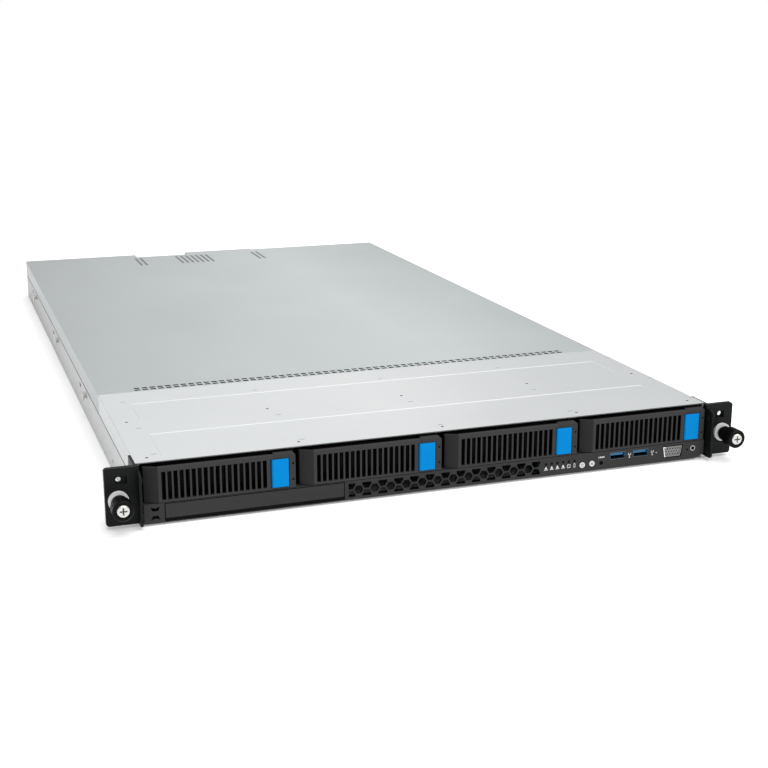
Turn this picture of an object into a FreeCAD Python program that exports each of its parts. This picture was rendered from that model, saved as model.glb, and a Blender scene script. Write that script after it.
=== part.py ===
"""A 1U rack server with four 3.5 inch drive bays, built piece by piece as a parametric document.

Frame, in millimetres: X to the right seen from the front, Y towards the rear, Z up.  The origin
lies on the underside of the chassis floor, midway between the ears, in the plane of the ears'
rear faces, which is the plane that meets the rack's front rails.
"""
import FreeCAD, Part
import os
import re
import Sketcher

# Driving dimensions, all in millimetres unless the name says otherwise.
SIZES = dict(
    # sheet metal shell
    body_width=439.0,
    body_height=43.0,
    rear_y=811.0,
    tray_sheet=1.0,
    cover_sheet=0.8,
    tray_front=1.0,
    lower_wall=26.0,
    flange_gap=0.4,
    flange_lift=1.2,
    wall_gap=0.3,
    cover_front=1.1,
    seam_y=179.4,
    seam_gap=0.5,
    recess_left=-87.0,
    recess_right=-25.0,
    recess_depth=16.0,
    setback_x=59.0,
    setback=5.5,
    # sunken panels and small holes of the covers
    panel_half=199.0,
    panel_sink=0.4,
    panel_slope=60.0,
    panel_front_y=15.0,
    panel_front_depth=48.0,
    panel_rear_y=106.0,
    panel_rear_depth=39.0,
    pin_hole_radius=1.1,
    pin_hole_edge=210.0,
    pin_hole_shift=5.3,
    pin_hole_front_y=11.0,
    pin_hole_rear_y=98.0,
    perf_count=60,
    perf_half=190.0,
    perf_length=4.4,
    perf_depth=3.2,
    perf_rear_y=190.5,
    perf_row_pitch=5.3,
    lid_groove_width=2.8,
    lid_groove_sink=0.5,
    lid_groove_length=50.0,
    lid_groove_pitch=6.2,
    lid_groove_front=736.0,
    lid_grooves_left_x=-92.5,
    lid_grooves_middle_x=-42.5,
    lid_grooves_right_x=53.0,
    lid_grooves_side_count=2,
    lid_grooves_middle_count=7,
    # ears and handles
    ear_span=482.6,
    ear_thickness=4.0,
    ear_bottom=2.2,
    ear_height=40.6,
    ear_corner=1.4,
    ear_side_sheet=1.5,
    ear_side_reach=21.0,
    ear_gap=0.2,
    handle_reach=9.0,
    handle_thickness=1.8,
    handle_inner=217.9,
    handle_top_drop=3.0,
    handle_slope_depth=4.0,
    handle_slope_drop=1.6,
    handle_nose_drop=1.2,
    rivet_radius=2.2,
    rivet_height=1.1,
    rivet_setback=5.5,
    rivet_low_z=8.0,
    rivet_high_z=33.5,
    window_x=230.0,
    window_z=34.1,
    window_width=7.6,
    window_height=5.4,
    window_depth=2.4,
    peep_radius=1.8,
    peep_shift=1.6,
    # captive thumbscrews
    screw_spacing=465.1,
    screw_z=20.0,
    ferrule_radius=7.0,
    ferrule_flange=2.0,
    ferrule_neck_radius=4.4,
    ferrule_neck=3.6,
    ferrule_body_radius=5.0,
    ferrule_tail=0.8,
    ferrule_bore=3.5,
    running_gap=0.05,
    knob_radius=7.2,
    knob_length=17.4,
    knob_stand=2.6,
    knob_sleeve=6.9,
    knob_sleeve_radius=5.6,
    knob_edge=0.8,
    knob_cup_radius=4.8,
    knob_cup_depth=6.5,
    knob_grooves=24,
    knob_groove_radius=0.45,
    knob_groove_margin=1.6,
    screw_cup_radius=4.7,
    screw_cup_depth=1.8,
    screw_head_radius=4.3,
    screw_head=2.0,
    screw_head_edge=0.5,
    cross_length=5.2,
    cross_width=1.1,
    cross_depth=1.0,
    screw_radius=2.4,
    screw_reach=10.0,
    groove_radius=2.0,
    ring_radius=4.2,
    ring_thickness=0.8,
    ring_gap=0.3,
    # front face: fascia under the bays
    face_proud=2.0,
    fascia_bottom=1.5,
    fascia_top=15.5,
    fascia_end=216.4,
    fascia_depth=6.6,
    fascia_wall=2.5,
    fascia_skin=1.2,
    fascia_foot_gap=0.2,
    fascia_corner_x=208.5,
    fascia_corner=3.0,
    blank_left=-201.7,
    blank_right=-75.4,
    blank_inset=1.0,
    blank_gap=0.6,
    blank_leg=14.0,
    blank_leg_thickness=1.5,
    blank_lip=2.0,
    blank_lip_drop=0.8,
    grille_left=-72.1,
    grille_first=-70.5,
    grille_columns=12,
    cell_radius=4.0,
    grille_web=1.0,
    grille_edge=1.9,
    root_three=1.7320508,
    tie_x=-208.6,
    tie_low_z=5.4,
    tie_pitch=6.2,
    tie_width=6.4,
    tie_height=3.0,
    tie_notch=1.0,
    tie_crown=3.6,
    lamp_x=81.7,
    lamp_pitch=4.7,
    lamp_count=6,
    lamp_z=10.6,
    lamp_radius=1.0,
    power_x=111.7,
    power_z=6.7,
    ident_x=119.8,
    ident_z=7.0,
    reset_x=127.7,
    reset_z=6.6,
    button_radius=2.15,
    button_gap=0.2,
    button_proud=0.3,
    button_flange=0.8,
    button_flange_lip=0.75,
    button_flange_gap=0.3,
    button_stem=1.0,
    button_stem_length=2.4,
    button_travel=0.8,
    reset_radius=1.35,
    reset_recess=1.4,
    usb_one_x=141.6,
    usb_two_x=161.3,
    usb_z=10.9,
    usb_width=13.1,
    usb_height=5.7,
    usb_depth=14.0,
    usb_skin=0.35,
    usb_tongue_width=10.6,
    usb_tongue=1.8,
    usb_tongue_rise=0.9,
    usb_tongue_setback=1.5,
    port_gap=0.3,
    port_setback=0.2,
    vga_port_gap=0.8,
    vga_x=188.9,
    vga_z=9.0,
    vga_width=16.4,
    vga_height=8.0,
    vga_slant=1.4,
    vga_skin=0.8,
    vga_plate_width=24.0,
    vga_plate_height=9.6,
    vga_plate=0.8,
    vga_insert_setback=0.6,
    vga_body_depth=9.0,
    contact_radius=0.55,
    contact_depth=1.5,
    contact_pitch=2.29,
    contact_count=5,
    contact_row=1.98,
    eyelet_x=206.7,
    eyelet_z=9.8,
    eyelet_radius=2.1,
    eyelet_bore=1.5,
    eyelet_length=3.0,
    pinhole_x=201.9,
    pinhole_z=9.1,
    pinhole_radius=0.8,
    # drive bays: cage, carriers, levers, latches and drives
    bay_pitch=108.6,
    bay_count=4,
    bay_floor=15.4,
    cage_sheet=0.8,
    cage_front=8.0,
    cage_outer=217.1,
    cage_top_gap=0.4,
    cage_tunnel_rear=36.0,
    cage_window_front=20.0,
    cage_window_length=28.0,
    cage_window_pitch=44.0,
    cage_window_count=3,
    cage_window_low=20.0,
    cage_window_high=36.0,
    carrier_gap=0.3,
    carrier_width=104.9,
    carrier_side_gap=0.15,
    bezel_low=0.2,
    bezel_high=25.5,
    bevel_drop=0.9,
    bevel_depth=2.5,
    head_left=37.2,
    head_gap=0.15,
    head_depth=9.0,
    head_corner=1.5,
    latch_left=34.95,
    latch_width=12.5,
    latch_low=1.5,
    latch_height=20.3,
    latch_side_gap=0.5,
    latch_end_gap=0.3,
    latch_recess=7.0,
    latch_proud=0.4,
    latch_body=4.0,
    latch_bevel=1.5,
    strip_lamp_x=50.8,
    strip_lamp_low=6.2,
    strip_lamp_high=17.8,
    strip_lamp_radius=0.8,
    strip_lamp_depth=3.0,
    inner_wall=1.5,
    inner_wall_top=25.0,
    vent_count=12,
    vent_pitch=7.0,
    vent_width=4.5,
    vent_low=4.0,
    vent_high=21.0,
    rail_thickness=1.5,
    rail_height=12.0,
    rail_length=141.0,
    pivot_inset=4.0,
    pivot_depth=6.2,
    lug_radius=2.3,
    lug_chamfer=1.2,
    lug_height=3.3,
    pivot_radius=1.2,
    pivot_reach=0.8,
    lever_thickness=2.0,
    scoop_right=11.0,
    scoop_depth=3.4,
    scoop_steps=6,
    knuckle_root=1.428,
    knuckle_radius=2.4,
    knuckle_gap=0.3,
    slot_left=-40.7,
    slot_count=18,
    slot_pitch=4.11,
    slot_width=2.8,
    slot_low=1.6,
    slot_high=21.8,
    lever_return=6.0,
    lever_return_thickness=1.0,
    lever_return_end=34.2,
    drive_front=11.0,
    drive_width=101.6,
    drive_length=147.0,
    drive_height=26.1,
    drive_lift=0.1,
    drive_lid_inset=3.0,
    drive_lid_rise=0.6,
    drive_board_inset=8.0,
    drive_board_depth=1.2,
    # backplane and front board
    socket_depth=4.0,
    socket_gap=0.3,
    socket_width=34.0,
    socket_low=17.5,
    socket_height=6.0,
    board_thickness=1.6,
    backplane_half=214.0,
    backplane_low=3.0,
    backplane_high=40.0,
    backplane_gap=0.3,
    backplane_vent_width=30.0,
    backplane_vent_low=26.5,
    backplane_vent_high=37.5,
    backplane_vents=6,
    io_board_left=78.0,
    io_board_right=212.0,
    io_board_rear=28.0,
    io_board_z=2.8,
    io_post_radius=2.5,
    io_post_y=20.0,
    io_post_inset=7.0,
    switch_size=5.0,
    switch_height=5.4,
    lamp_block_height=7.6,
    # fans
    fan_count=6,
    fan_pitch=70.0,
    fan_size=40.0,
    fan_length=56.0,
    fan_front=190.0,
    fan_bore=18.5,
    fan_hub=8.5,
    fan_cup=8.3,
    fan_cup_length=6.0,
    fan_strut=2.0,
    fan_end_gap=0.5,
    rotor_front_gap=5.0,
    blade_tip=17.2,
    blade_span_y=30.0,
    blade_sweep_x=9.0,
    blade_thickness=1.6,
    blade_count=7,
    shaft_radius=1.5,
    shaft_reach=4.0,
    # motherboard and what stands on it
    board_front=252.0,
    board_half=212.0,
    board_step_y=616.0,
    board_rear_half=139.0,
    board_rear_gap=4.0,
    board_recess_margin=4.0,
    standoff_height=5.0,
    standoff_radius=3.0,
    standoff_x=125.0,
    standoff_pitch_y=160.0,
    standoff_front_y=270.0,
    standoff_rows=4,
    cpu_x=62.0,
    cpu_y=330.0,
    cpu_socket_width=58.0,
    cpu_socket_length=78.0,
    cpu_socket_height=6.0,
    sink_width=80.0,
    sink_length=118.0,
    sink_base=5.0,
    sink_height=25.0,
    sink_fins=27,
    fin_thickness=0.8,
    dimm_length=133.35,
    dimm_thickness=1.3,
    dimm_height=30.0,
    dimm_chip_depth=3.6,
    dimm_chip_height=18.0,
    dimm_chip_length=124.0,
    dimm_socket_length=142.0,
    dimm_socket_width=6.4,
    dimm_socket_height=2.4,
    dimm_pitch=9.0,
    dimm_bank=4,
    dimm_outer_x=132.0,
    dimm_inner_x=-13.5,
    duct_half=112.0,
    duct_front=256.0,
    duct_rear=404.0,
    duct_sheet=1.2,
    duct_top_gap=0.6,
    duct_foot_gap=0.3,
    # power supplies
    psu_x=180.0,
    psu_width=73.5,
    psu_height=39.0,
    psu_length=185.0,
    psu_floor_gap=0.3,
    psu_proud=1.5,
    psu_wall_gap=0.4,
    inlet_left=-33.0,
    inlet_low=10.0,
    inlet_width=24.0,
    inlet_height=16.5,
    inlet_depth=16.0,
    inlet_pin_width=2.0,
    inlet_pin_height=4.0,
    inlet_pin_length=12.0,
    inlet_pin_spread=7.0,
    inlet_pin_drop=2.0,
    psu_vent_left=-6.0,
    psu_vent_count=8,
    psu_vent_pitch=4.2,
    psu_vent_width=2.6,
    psu_vent_low=9.0,
    psu_vent_high=33.0,
    psu_vent_depth=8.0,
    edge_width=50.0,
    edge_length=10.0,
    edge_z=20.0,
    edge_socket_gap=2.0,
    edge_socket_length=12.0,
    edge_socket_wall=4.0,
    edge_slot_gap=0.4,
    psu_latch_left=32.2,
    psu_latch_thickness=3.0,
    psu_latch_low=12.0,
    psu_latch_height=16.0,
    psu_latch_reach=8.0,
    psu_latch_depth=5.5,
    psu_latch_pocket_left=29.2,
    psu_latch_gap=0.3,
    psu_handle_left=-8.0,
    psu_handle_width=34.0,
    psu_handle_height=27.0,
    psu_handle_bar=3.0,
    psu_handle_axis_y=2.0,
    psu_handle_axis_z=6.0,
    psu_handle_heel=1.2,
    psu_lug_width=2.6,
    psu_lug_gap=0.3,
    psu_lug_reach=5.0,
    psu_lug_half=3.0,
    psu_pin_radius=1.2,
    # rear ports, blanks and fasteners
    jack_width=16.0,
    jack_height=13.5,
    jack_depth=21.0,
    jack_skin=0.8,
    jack_left_x=-19.5,
    jack_pitch=17.5,
    usb_stack_x=17.0,
    usb_stack_width=14.5,
    usb_stack_height=16.0,
    rear_vga_x=35.0,
    rear_vga_width=20.0,
    rear_vga_height=11.0,
    rear_port_proud=0.5,
    bracket_left=60.8,
    bracket_width=79.0,
    bracket_height=18.4,
    bracket_low=20.5,
    ocp_low=3.5,
    ocp_height=14.5,
    left_bracket_left=-139.5,
    left_bracket_width=49.0,
    blank_vent_width=2.2,
    blank_vent_pitch=4.4,
    recess_vent_count=10,
    recess_vent_inset=8.8,
    blank_vent_margin=3.0,
    stud_neck_radius=2.0,
    stud_neck=1.8,
    stud_head_radius=3.4,
    stud_head=1.2,
    stud_z=20.0,
    stud_front_y=264.0,
    stud_middle_y=477.0,
    stud_rear_y=699.0,
    wall_slot_length=9.0,
    wall_slot_height=3.0,
    wall_slot_shift=32.0,
    case_screw_radius=1.4,
    case_screw_head_radius=2.7,
    case_screw_head=1.5,
    case_screw_length=2.0,
    case_screw_hole=1.6,
    ear_screw_y=13.0,
    ear_screw_low=8.0,
    ear_screw_high=20.0,
)

# Places that follow from the driving dimensions.
PLACES = dict(
    half_body="body_width / 2",
    cover_under="body_height - cover_sheet",
    upper_outer="half_body - cover_sheet - flange_gap",
    upper_inner="upper_outer - tray_sheet",
    wall_top="cover_under - wall_gap",
    flange_low="lower_wall + flange_lift",
    ear_front="-ear_thickness",
    ear_half="ear_span / 2",
    ear_top="ear_bottom + ear_height",
    ear_side_in="half_body + ear_gap",
    ear_side_out="ear_side_in + ear_side_sheet",
    handle_outer="handle_inner + handle_thickness",
    handle_front="ear_front - handle_reach",
    handle_top="ear_top - handle_top_drop",
    screw_x="screw_spacing / 2",
    face_y="ear_front - face_proud",
    fascia_back="face_y + fascia_depth",
    fascia_wall_back="face_y + fascia_wall",
    floor_front="fascia_wall_back + fascia_foot_gap",
    blank_low="fascia_bottom + blank_inset",
    blank_high="fascia_top - blank_inset",
    grille_low="fascia_bottom + grille_edge",
    grille_high="fascia_top - grille_edge",
    hole_radius="cell_radius - grille_web / root_three",
    hole_half="hole_radius * root_three / 2",
    cell_rise="cell_radius * root_three",
    column_pitch="cell_radius * 1.5",
    ferrule_front="ear_front - ferrule_flange",
    ferrule_neck_front="ferrule_front - ferrule_neck",
    knob_rear="ferrule_front - knob_stand",
    knob_front="knob_rear - knob_length",
    knob_shoulder="knob_rear - knob_sleeve",
    ring_front="ferrule_tail + ring_gap",
    ring_rear="ring_front + ring_thickness",
    carrier_z="bay_floor + carrier_gap",
    carrier_half="carrier_width / 2",
    frame_half="carrier_half - carrier_side_gap",
    latch_right="latch_left + latch_width",
    latch_high="latch_low + latch_height",
    inner_wall_front="head_depth",
    inner_wall_back="head_depth + inner_wall",
    pivot_x="pivot_inset - carrier_half",
    lug_back="inner_wall_front",
    lug_low_top="bezel_low + lug_height",
    lug_high_bottom="inner_wall_top - lug_height",
    knuckle_low="lug_low_top + knuckle_gap",
    knuckle_high="lug_high_bottom - knuckle_gap",
    lever_right="head_left - head_gap",
    scoop_end="scoop_right - carrier_half",
    drive_back="drive_front + drive_length",
    socket_front_y="face_y + drive_back + socket_gap",
    backplane_front="socket_front_y + socket_depth",
    backplane_rear="backplane_front + board_thickness",
    cage_rear="backplane_front - backplane_gap",
    cage_top="cover_under - cage_top_gap",
    io_board_top="io_board_z + board_thickness",
    fan_rear="fan_front + fan_length",
    fan_axis_z="tray_sheet + fan_size / 2",
    fan_cup_front="fan_rear - fan_cup_length",
    rotor_front="fan_front + rotor_front_gap",
    rotor_rear="fan_cup_front - fan_end_gap",
    board_z="tray_sheet + standoff_height",
    board_top="board_z + board_thickness",
    socket_top="board_top + cpu_socket_height",
    dimm_seat="board_top + dimm_socket_height",
    duct_top="cover_under - duct_top_gap",
    psu_z="tray_sheet + psu_floor_gap",
    psu_half="psu_width / 2",
)

doc = FreeCAD.newDocument("rack_server")
sheet = doc.addObject("Spreadsheet::Sheet", "sizes")
for line, (alias, size) in enumerate(SIZES.items(), start=1):
    sheet.set(f"A{line}", alias)
    sheet.set(f"B{line}", str(size))
    sheet.setAlias(f"B{line}", alias)
doc.recompute()

NAME = re.compile(r"[a-z][a-z0-9_]*")
BAYS = range(1, SIZES["bay_count"] + 1)
SUBPARTS = []


# Formulas -----------------------------------------------------------------------------------------

def cell(formula):
    """The formula with every size and place replaced by cells of the sheet."""
    def lookup(word):
        name = word.group()
        if name in PLACES:
            return "(" + cell(PLACES[name]) + ")"
        return "sizes." + name if name in SIZES else name
    return NAME.sub(lookup, str(formula))


def number(formula):
    """What a formula is worth now, in millimetres."""
    worth = sheet.evalExpression(cell(formula))
    return float(getattr(worth, "Value", worth))


def bind(item, **properties):
    """Bind properties of a document object to formulas."""
    for name, formula in properties.items():
        item.setExpression(name.replace("__", "."), cell(formula))


def put(item, x="0", y="0", z="0"):
    """Bind where a document object stands."""
    bind(item, Placement__Base__x=x, Placement__Base__y=y, Placement__Base__z=z)
    return item


def keep(item, label):
    """Name a finished sub-part and note it for writing."""
    item.Label = label
    SUBPARTS.append(item)
    return item


# Sketches and their features ----------------------------------------------------------------------

def bind_point(sketch, curve, point, x, y):
    for kind, formula in (("DistanceX", x), ("DistanceY", y)):
        place = Sketcher.Constraint(kind, -1, 1, curve, point, number(formula))
        sketch.setExpression(f"Constraints[{sketch.addConstraint(place)}]", cell(formula))


def outline(*corners):
    """A closed outline through corners, each a pair of formulas."""
    def draw(sketch):
        first = sketch.GeometryCount
        count = len(corners)
        points = [FreeCAD.Vector(number(x), number(y), 0) for x, y in corners]
        following = points[1:] + points[:1]
        sides = [Part.LineSegment(start, end) for start, end in zip(points, following)]
        sketch.addGeometry(sides, False)
        for side in range(count):
            after = first + (side + 1) % count
            sketch.addConstraint(Sketcher.Constraint("Coincident", first + side, 2, after, 1))
        for side, (x, y) in enumerate(corners):
            bind_point(sketch, first + side, 1, x, y)
    return draw


def rectangle(left, bottom, right, top):
    return outline((left, bottom), (right, bottom), (right, top), (left, top))


def disc(x, y, radius):
    """A circle given by its centre and radius."""
    def draw(sketch):
        centre = FreeCAD.Vector(number(x), number(y), 0)
        curve = sketch.addGeometry(Part.Circle(centre, FreeCAD.Vector(0, 0, 1), number(radius)), False)
        bind_point(sketch, curve, 3, x, y)
        size = Sketcher.Constraint("Radius", curve, number(radius))
        sketch.setExpression(f"Constraints[{sketch.addConstraint(size)}]", cell(radius))
    return draw


def origin_item(body, role):
    return next(item for item in body.Origin.OriginFeatures if item.Role == role)


def new_body(name, x="0", y="0", z="0"):
    body = doc.addObject("PartDesign::Body", name)
    body.Label = name
    return put(body, x, y, z)


def sketch_on(body, plane, level, shapes):
    """A sketch parallel to one of the body's own origin planes, at a level along its normal."""
    sketch = body.newObject("Sketcher::SketchObject", body.Name + "_sketch")
    sketch.AttachmentSupport = [(origin_item(body, plane + "_Plane"), "")]
    sketch.MapMode = "FlatFace"
    sign = "-" if plane == "XZ" else ""
    bind(sketch, AttachmentOffset__Base__z=f"{sign}({level})")
    for draw in shapes:
        draw(sketch)
    return sketch


def pad(body, plane, low, high, *shapes, slope=None):
    """Material from level low to level high, both measured along the world axis."""
    sketch = sketch_on(body, plane, low, shapes)
    feature = body.newObject("PartDesign::Pad", body.Name + "_pad")
    feature.Profile = sketch
    feature.Reversed = plane == "XZ"
    bind(feature, Length=f"({high}) - ({low})")
    if slope:
        bind(feature, TaperAngle=f"-({slope})")
    return feature


def pocket(body, plane, low, high, *shapes, slope=None):
    """A cut from level low to level high, both measured along the world axis."""
    sketch = sketch_on(body, plane, low, shapes)
    feature = body.newObject("PartDesign::Pocket", body.Name + "_pocket")
    feature.Profile = sketch
    feature.Reversed = plane != "XZ"
    bind(feature, Length=f"({high}) - ({low})")
    if slope:
        bind(feature, TaperAngle=slope)
    return feature


def turn(body, *corners, cut=False):
    """A turned solid or groove about the body's Y axis; corners are (radius, y) pairs."""
    sketch = sketch_on(body, "XY", "0", [outline(*corners)])
    kind = "Groove" if cut else "Revolution"
    feature = body.newObject("PartDesign::" + kind, body.Name + "_turned")
    feature.Profile = sketch
    feature.ReferenceAxis = (sketch, ["V_Axis"])
    feature.Angle = 360
    return feature


def repeat(body, feature, axis, count, pitch):
    """Equal copies of a feature in a row along one axis."""
    copies = body.newObject("PartDesign::LinearPattern", body.Name + "_row")
    copies.Originals = [feature]
    copies.Direction = (origin_item(body, axis + "_Axis"), [""])
    bind(copies, Occurrences=count, Length=f"({pitch}) * ({count} - 1)")
    body.Tip = copies
    return copies


def around(body, feature, count):
    """Equal copies of a feature around the body's Y axis."""
    copies = body.newObject("PartDesign::PolarPattern", body.Name + "_ring")
    copies.Originals = [feature]
    copies.Axis = (origin_item(body, "Y_Axis"), [""])
    copies.Angle = 360
    bind(copies, Occurrences=count)
    body.Tip = copies
    return copies


# Plain solids -------------------------------------------------------------------------------------

def block(low, high):
    """A box between two opposite corners, each three formulas."""
    solid = doc.addObject("Part::Box", "block")
    put(solid, *low)
    length, width, height = [f"({top}) - ({bottom})" for bottom, top in zip(low, high)]
    bind(solid, Length=length, Width=width, Height=height)
    return solid


def rod(x, low, z, radius, high):
    """A round bar along Y from level low to level high."""
    solid = doc.addObject("Part::Cylinder", "rod")
    solid.Placement = FreeCAD.Placement(FreeCAD.Vector(), FreeCAD.Rotation(FreeCAD.Vector(1, 0, 0), -90))
    put(solid, x, low, z)
    bind(solid, Radius=radius, Height=f"({high}) - ({low})")
    return solid


def fuse(pieces):
    solid = doc.addObject("Part::MultiFuse", "fused")
    solid.Shapes = pieces
    return solid


def subtract(base, tools):
    solid = doc.addObject("Part::Cut", "cut")
    solid.Base = base
    solid.Tool = tools[0] if len(tools) == 1 else fuse(tools)
    return solid


def group(label, pieces):
    """Separate solids that share one sub-part."""
    together = doc.addObject("Part::Compound", label)
    together.Links = pieces
    return keep(together, label)


# Shell --------------------------------------------------------------------------------------------

def both_ends(corners):
    """Mirror an open outline, given from its lowest right corner, to the left side."""
    mirrored = [(f"-({x})", y) for x, y in reversed(corners)]
    return outline(*corners, *mirrored)


def chassis_tray():
    """Floor and stepped side walls, folded from one sheet, with a notched rear edge."""
    tray = new_body("chassis_tray")
    pad(tray, "XZ", "tray_front", "rear_y", both_ends([
        ("half_body", "0"), ("half_body", "lower_wall"), ("upper_outer", "lower_wall"),
        ("upper_outer", "wall_top"), ("upper_inner", "wall_top"),
        ("upper_inner", "lower_wall - tray_sheet"), ("half_body - tray_sheet", "lower_wall - tray_sheet"),
        ("half_body - tray_sheet", "tray_sheet")]))
    pad(tray, "XY", "0", "tray_sheet",
        rectangle("-fascia_end", "floor_front", "fascia_end", "tray_front + tray_sheet"))
    pocket(tray, "XY", "-tray_sheet", "body_height",
           rectangle("recess_left", "rear_y - recess_depth", "recess_right", "rear_y + tray_sheet"),
           rectangle("setback_x", "rear_y - setback", "half_body + tray_sheet", "rear_y + tray_sheet"))
    tray_posts(tray)
    tray_side_holes(tray)
    return keep(tray, "chassis_tray")


def rear_panel():
    """Rear wall in four plates: in line, recessed, in line and set back, with returns between them."""
    recessed, stepped = "(rear_y - recess_depth)", "(rear_y - setback)"
    left_return = rear_return("recess_left - tray_sheet", "recess_left", recessed)
    right_return = rear_return("recess_right", "recess_right + tray_sheet", recessed)
    step_return = rear_return("setback_x - tray_sheet", "setback_x", stepped)
    return group("rear_panel", [
        rear_plate("-upper_inner", "recess_left", "rear_y", [left_return], [
            supply_window("-upper_inner - tray_sheet", "psu_half + psu_wall_gap - psu_x"),
            blank_window("left_bracket_left", "left_bracket_width", "bracket_low", "bracket_height")]),
        vented_plate("recess_left", "recess_right", recessed),
        rear_plate("recess_right", "setback_x", "rear_y", [right_return, step_return],
                   [blank_window(left, width, "board_top", height) for left, width, height in rear_ports()]),
        rear_plate("setback_x", "upper_inner", stepped, [], [
            blank_window("bracket_left", "bracket_width", "bracket_low", "bracket_height"),
            blank_window("bracket_left", "bracket_width", "ocp_low", "ocp_height"),
            supply_window("psu_x - psu_half - psu_wall_gap", "upper_inner + tray_sheet")])])


def rear_return(left, right, level):
    """Plan of a strip that runs from a recessed plate out to the rear plane."""
    return rectangle(left, f"{level} - tray_sheet", right, "rear_y")


def rear_plate(left, right, level, returns, windows):
    """One plate of the rear wall with its returns and windows; level is its rear face."""
    body = new_body("rear_plate")
    pad(body, "XY", "tray_sheet", "wall_top", rectangle(left, f"{level} - tray_sheet", right, level))
    for strip in returns:
        pad(body, "XY", "tray_sheet", "wall_top", strip)
    if windows:
        pocket(body, "XZ", f"{level} - 2 * tray_sheet", f"{level} + tray_sheet", *windows)
    return body


def vented_plate(left, right, level):
    """A plate of the rear wall with a row of upright vents."""
    body = rear_plate(left, right, level, [], [])
    vent = pocket(body, "XZ", f"{level} - 2 * tray_sheet", f"{level} + tray_sheet", rectangle(
        f"{left} + recess_vent_inset", "bracket_low",
        f"{left} + recess_vent_inset + blank_vent_width", "bracket_low + bracket_height"))
    repeat(body, vent, "X", "recess_vent_count", "blank_vent_pitch")
    return body


def supply_window(left, right):
    """Window for a power supply, open to the floor and to the side wall."""
    return rectangle(left, "0", right, "psu_z + psu_height + psu_wall_gap")


def blank_window(left, width, low, height):
    return rectangle(f"{left} - port_gap", f"{low} - port_gap",
                     f"{left} + {width} + port_gap", f"{low} + {height} + port_gap")


def rear_ports():
    """Left edge, width and height of each rear port."""
    return [("jack_left_x", "jack_width", "jack_height"),
            ("(jack_left_x + jack_pitch)", "jack_width", "jack_height"),
            ("usb_stack_x", "usb_stack_width", "usb_stack_height"),
            ("rear_vga_x", "rear_vga_width", "rear_vga_height")]


def tray_posts(tray):
    """Posts that carry the motherboard and the front board."""
    rows = range(SIZES["standoff_rows"])
    posts = [disc(f"{side} * standoff_x", f"standoff_front_y + {row} * standoff_pitch_y",
                  "standoff_radius") for row in rows for side in (-1, 1)]
    pad(tray, "XY", "tray_sheet / 2", "board_z", *posts)
    pad(tray, "XY", "tray_sheet / 2", "io_board_z",
        disc("io_board_left + io_post_inset", "io_post_y", "io_post_radius"),
        disc("io_board_right - io_post_inset", "io_post_y", "io_post_radius"))


def tray_side_holes(tray):
    """Slots beside the rail studs and holes for the ear screws, through both lower walls."""
    slots = [rectangle(f"{y} + wall_slot_shift", "stud_z - wall_slot_height / 2",
                       f"{y} + wall_slot_shift + wall_slot_length", "stud_z + wall_slot_height / 2")
             for y in ("stud_front_y", "stud_middle_y", "stud_rear_y")]
    holes = [disc("ear_screw_y", z, "case_screw_hole") for z in ("ear_screw_low", "ear_screw_high")]
    for low, high in (("-half_body - tray_sheet", "2 * tray_sheet - half_body"),
                      ("half_body - 2 * tray_sheet", "half_body + tray_sheet")):
        pocket(tray, "YZ", low, high, *slots, *holes)


def cover_shell(cover, front, rear):
    """A flat top with a flange down each side."""
    pad(cover, "XZ", front, rear, outline(
        ("-half_body", "flange_low"), ("-half_body", "body_height"), ("half_body", "body_height"),
        ("half_body", "flange_low"), ("half_body - cover_sheet", "flange_low"),
        ("half_body - cover_sheet", "cover_under"), ("cover_sheet - half_body", "cover_under"),
        ("cover_sheet - half_body", "flange_low")))


def front_cover():
    """Cover over the drive bays, with two sunken panels and rows of small holes."""
    cover = new_body("front_cover")
    cover_shell(cover, "cover_front", "seam_y")
    for start, depth in (("panel_front_y", "panel_front_depth"), ("panel_rear_y", "panel_rear_depth")):
        pocket(cover, "XY", "body_height - panel_sink", "body_height",
               rectangle("-panel_half", start, "panel_half", f"{start} + {depth}"), slope="panel_slope")
    columns = ["-pin_hole_edge", "pin_hole_shift - bay_pitch", "pin_hole_shift",
               "pin_hole_shift + bay_pitch", "pin_hole_edge"]
    holes = [disc(x, y, "pin_hole_radius") for x in columns
             for y in ("pin_hole_front_y", "pin_hole_rear_y")]
    pocket(cover, "XY", "body_height - 2 * cover_sheet", "body_height + cover_sheet", *holes)
    return keep(cover, "front_cover")


def rear_cover():
    """Cover over fans, board and supplies: notched edge, two rows of small slots, pressed grooves."""
    cover = new_body("rear_cover")
    cover_shell(cover, "seam_y + seam_gap", "rear_y")
    under, over = "body_height - 2 * cover_sheet", "body_height + cover_sheet"
    pocket(cover, "XY", "flange_low - cover_sheet", over,
           rectangle("recess_left", "rear_y - recess_depth", "recess_right", "rear_y + cover_sheet"),
           rectangle("setback_x", "rear_y - setback", "half_body + cover_sheet", "rear_y + cover_sheet"))
    for line in (0, 1):
        rear = f"perf_rear_y - {line} * perf_row_pitch"
        first = pocket(cover, "XY", under, over, rectangle(
            "-perf_half", f"{rear} - perf_depth", "perf_length - perf_half", rear))
        repeat(cover, first, "X", "perf_count", "2 * perf_half / perf_count")
    for left, count in (("lid_grooves_left_x", "lid_grooves_side_count"),
                        ("lid_grooves_middle_x", "lid_grooves_middle_count"),
                        ("lid_grooves_right_x", "lid_grooves_side_count")):
        first = pocket(cover, "XY", "body_height - lid_groove_sink", over, rectangle(
            left, "lid_groove_front", f"{left} + lid_groove_width", "lid_groove_front + lid_groove_length"))
        repeat(cover, first, "X", count, "lid_groove_pitch")
    return keep(cover, "rear_cover")


# Ears and thumbscrews -----------------------------------------------------------------------------

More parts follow.
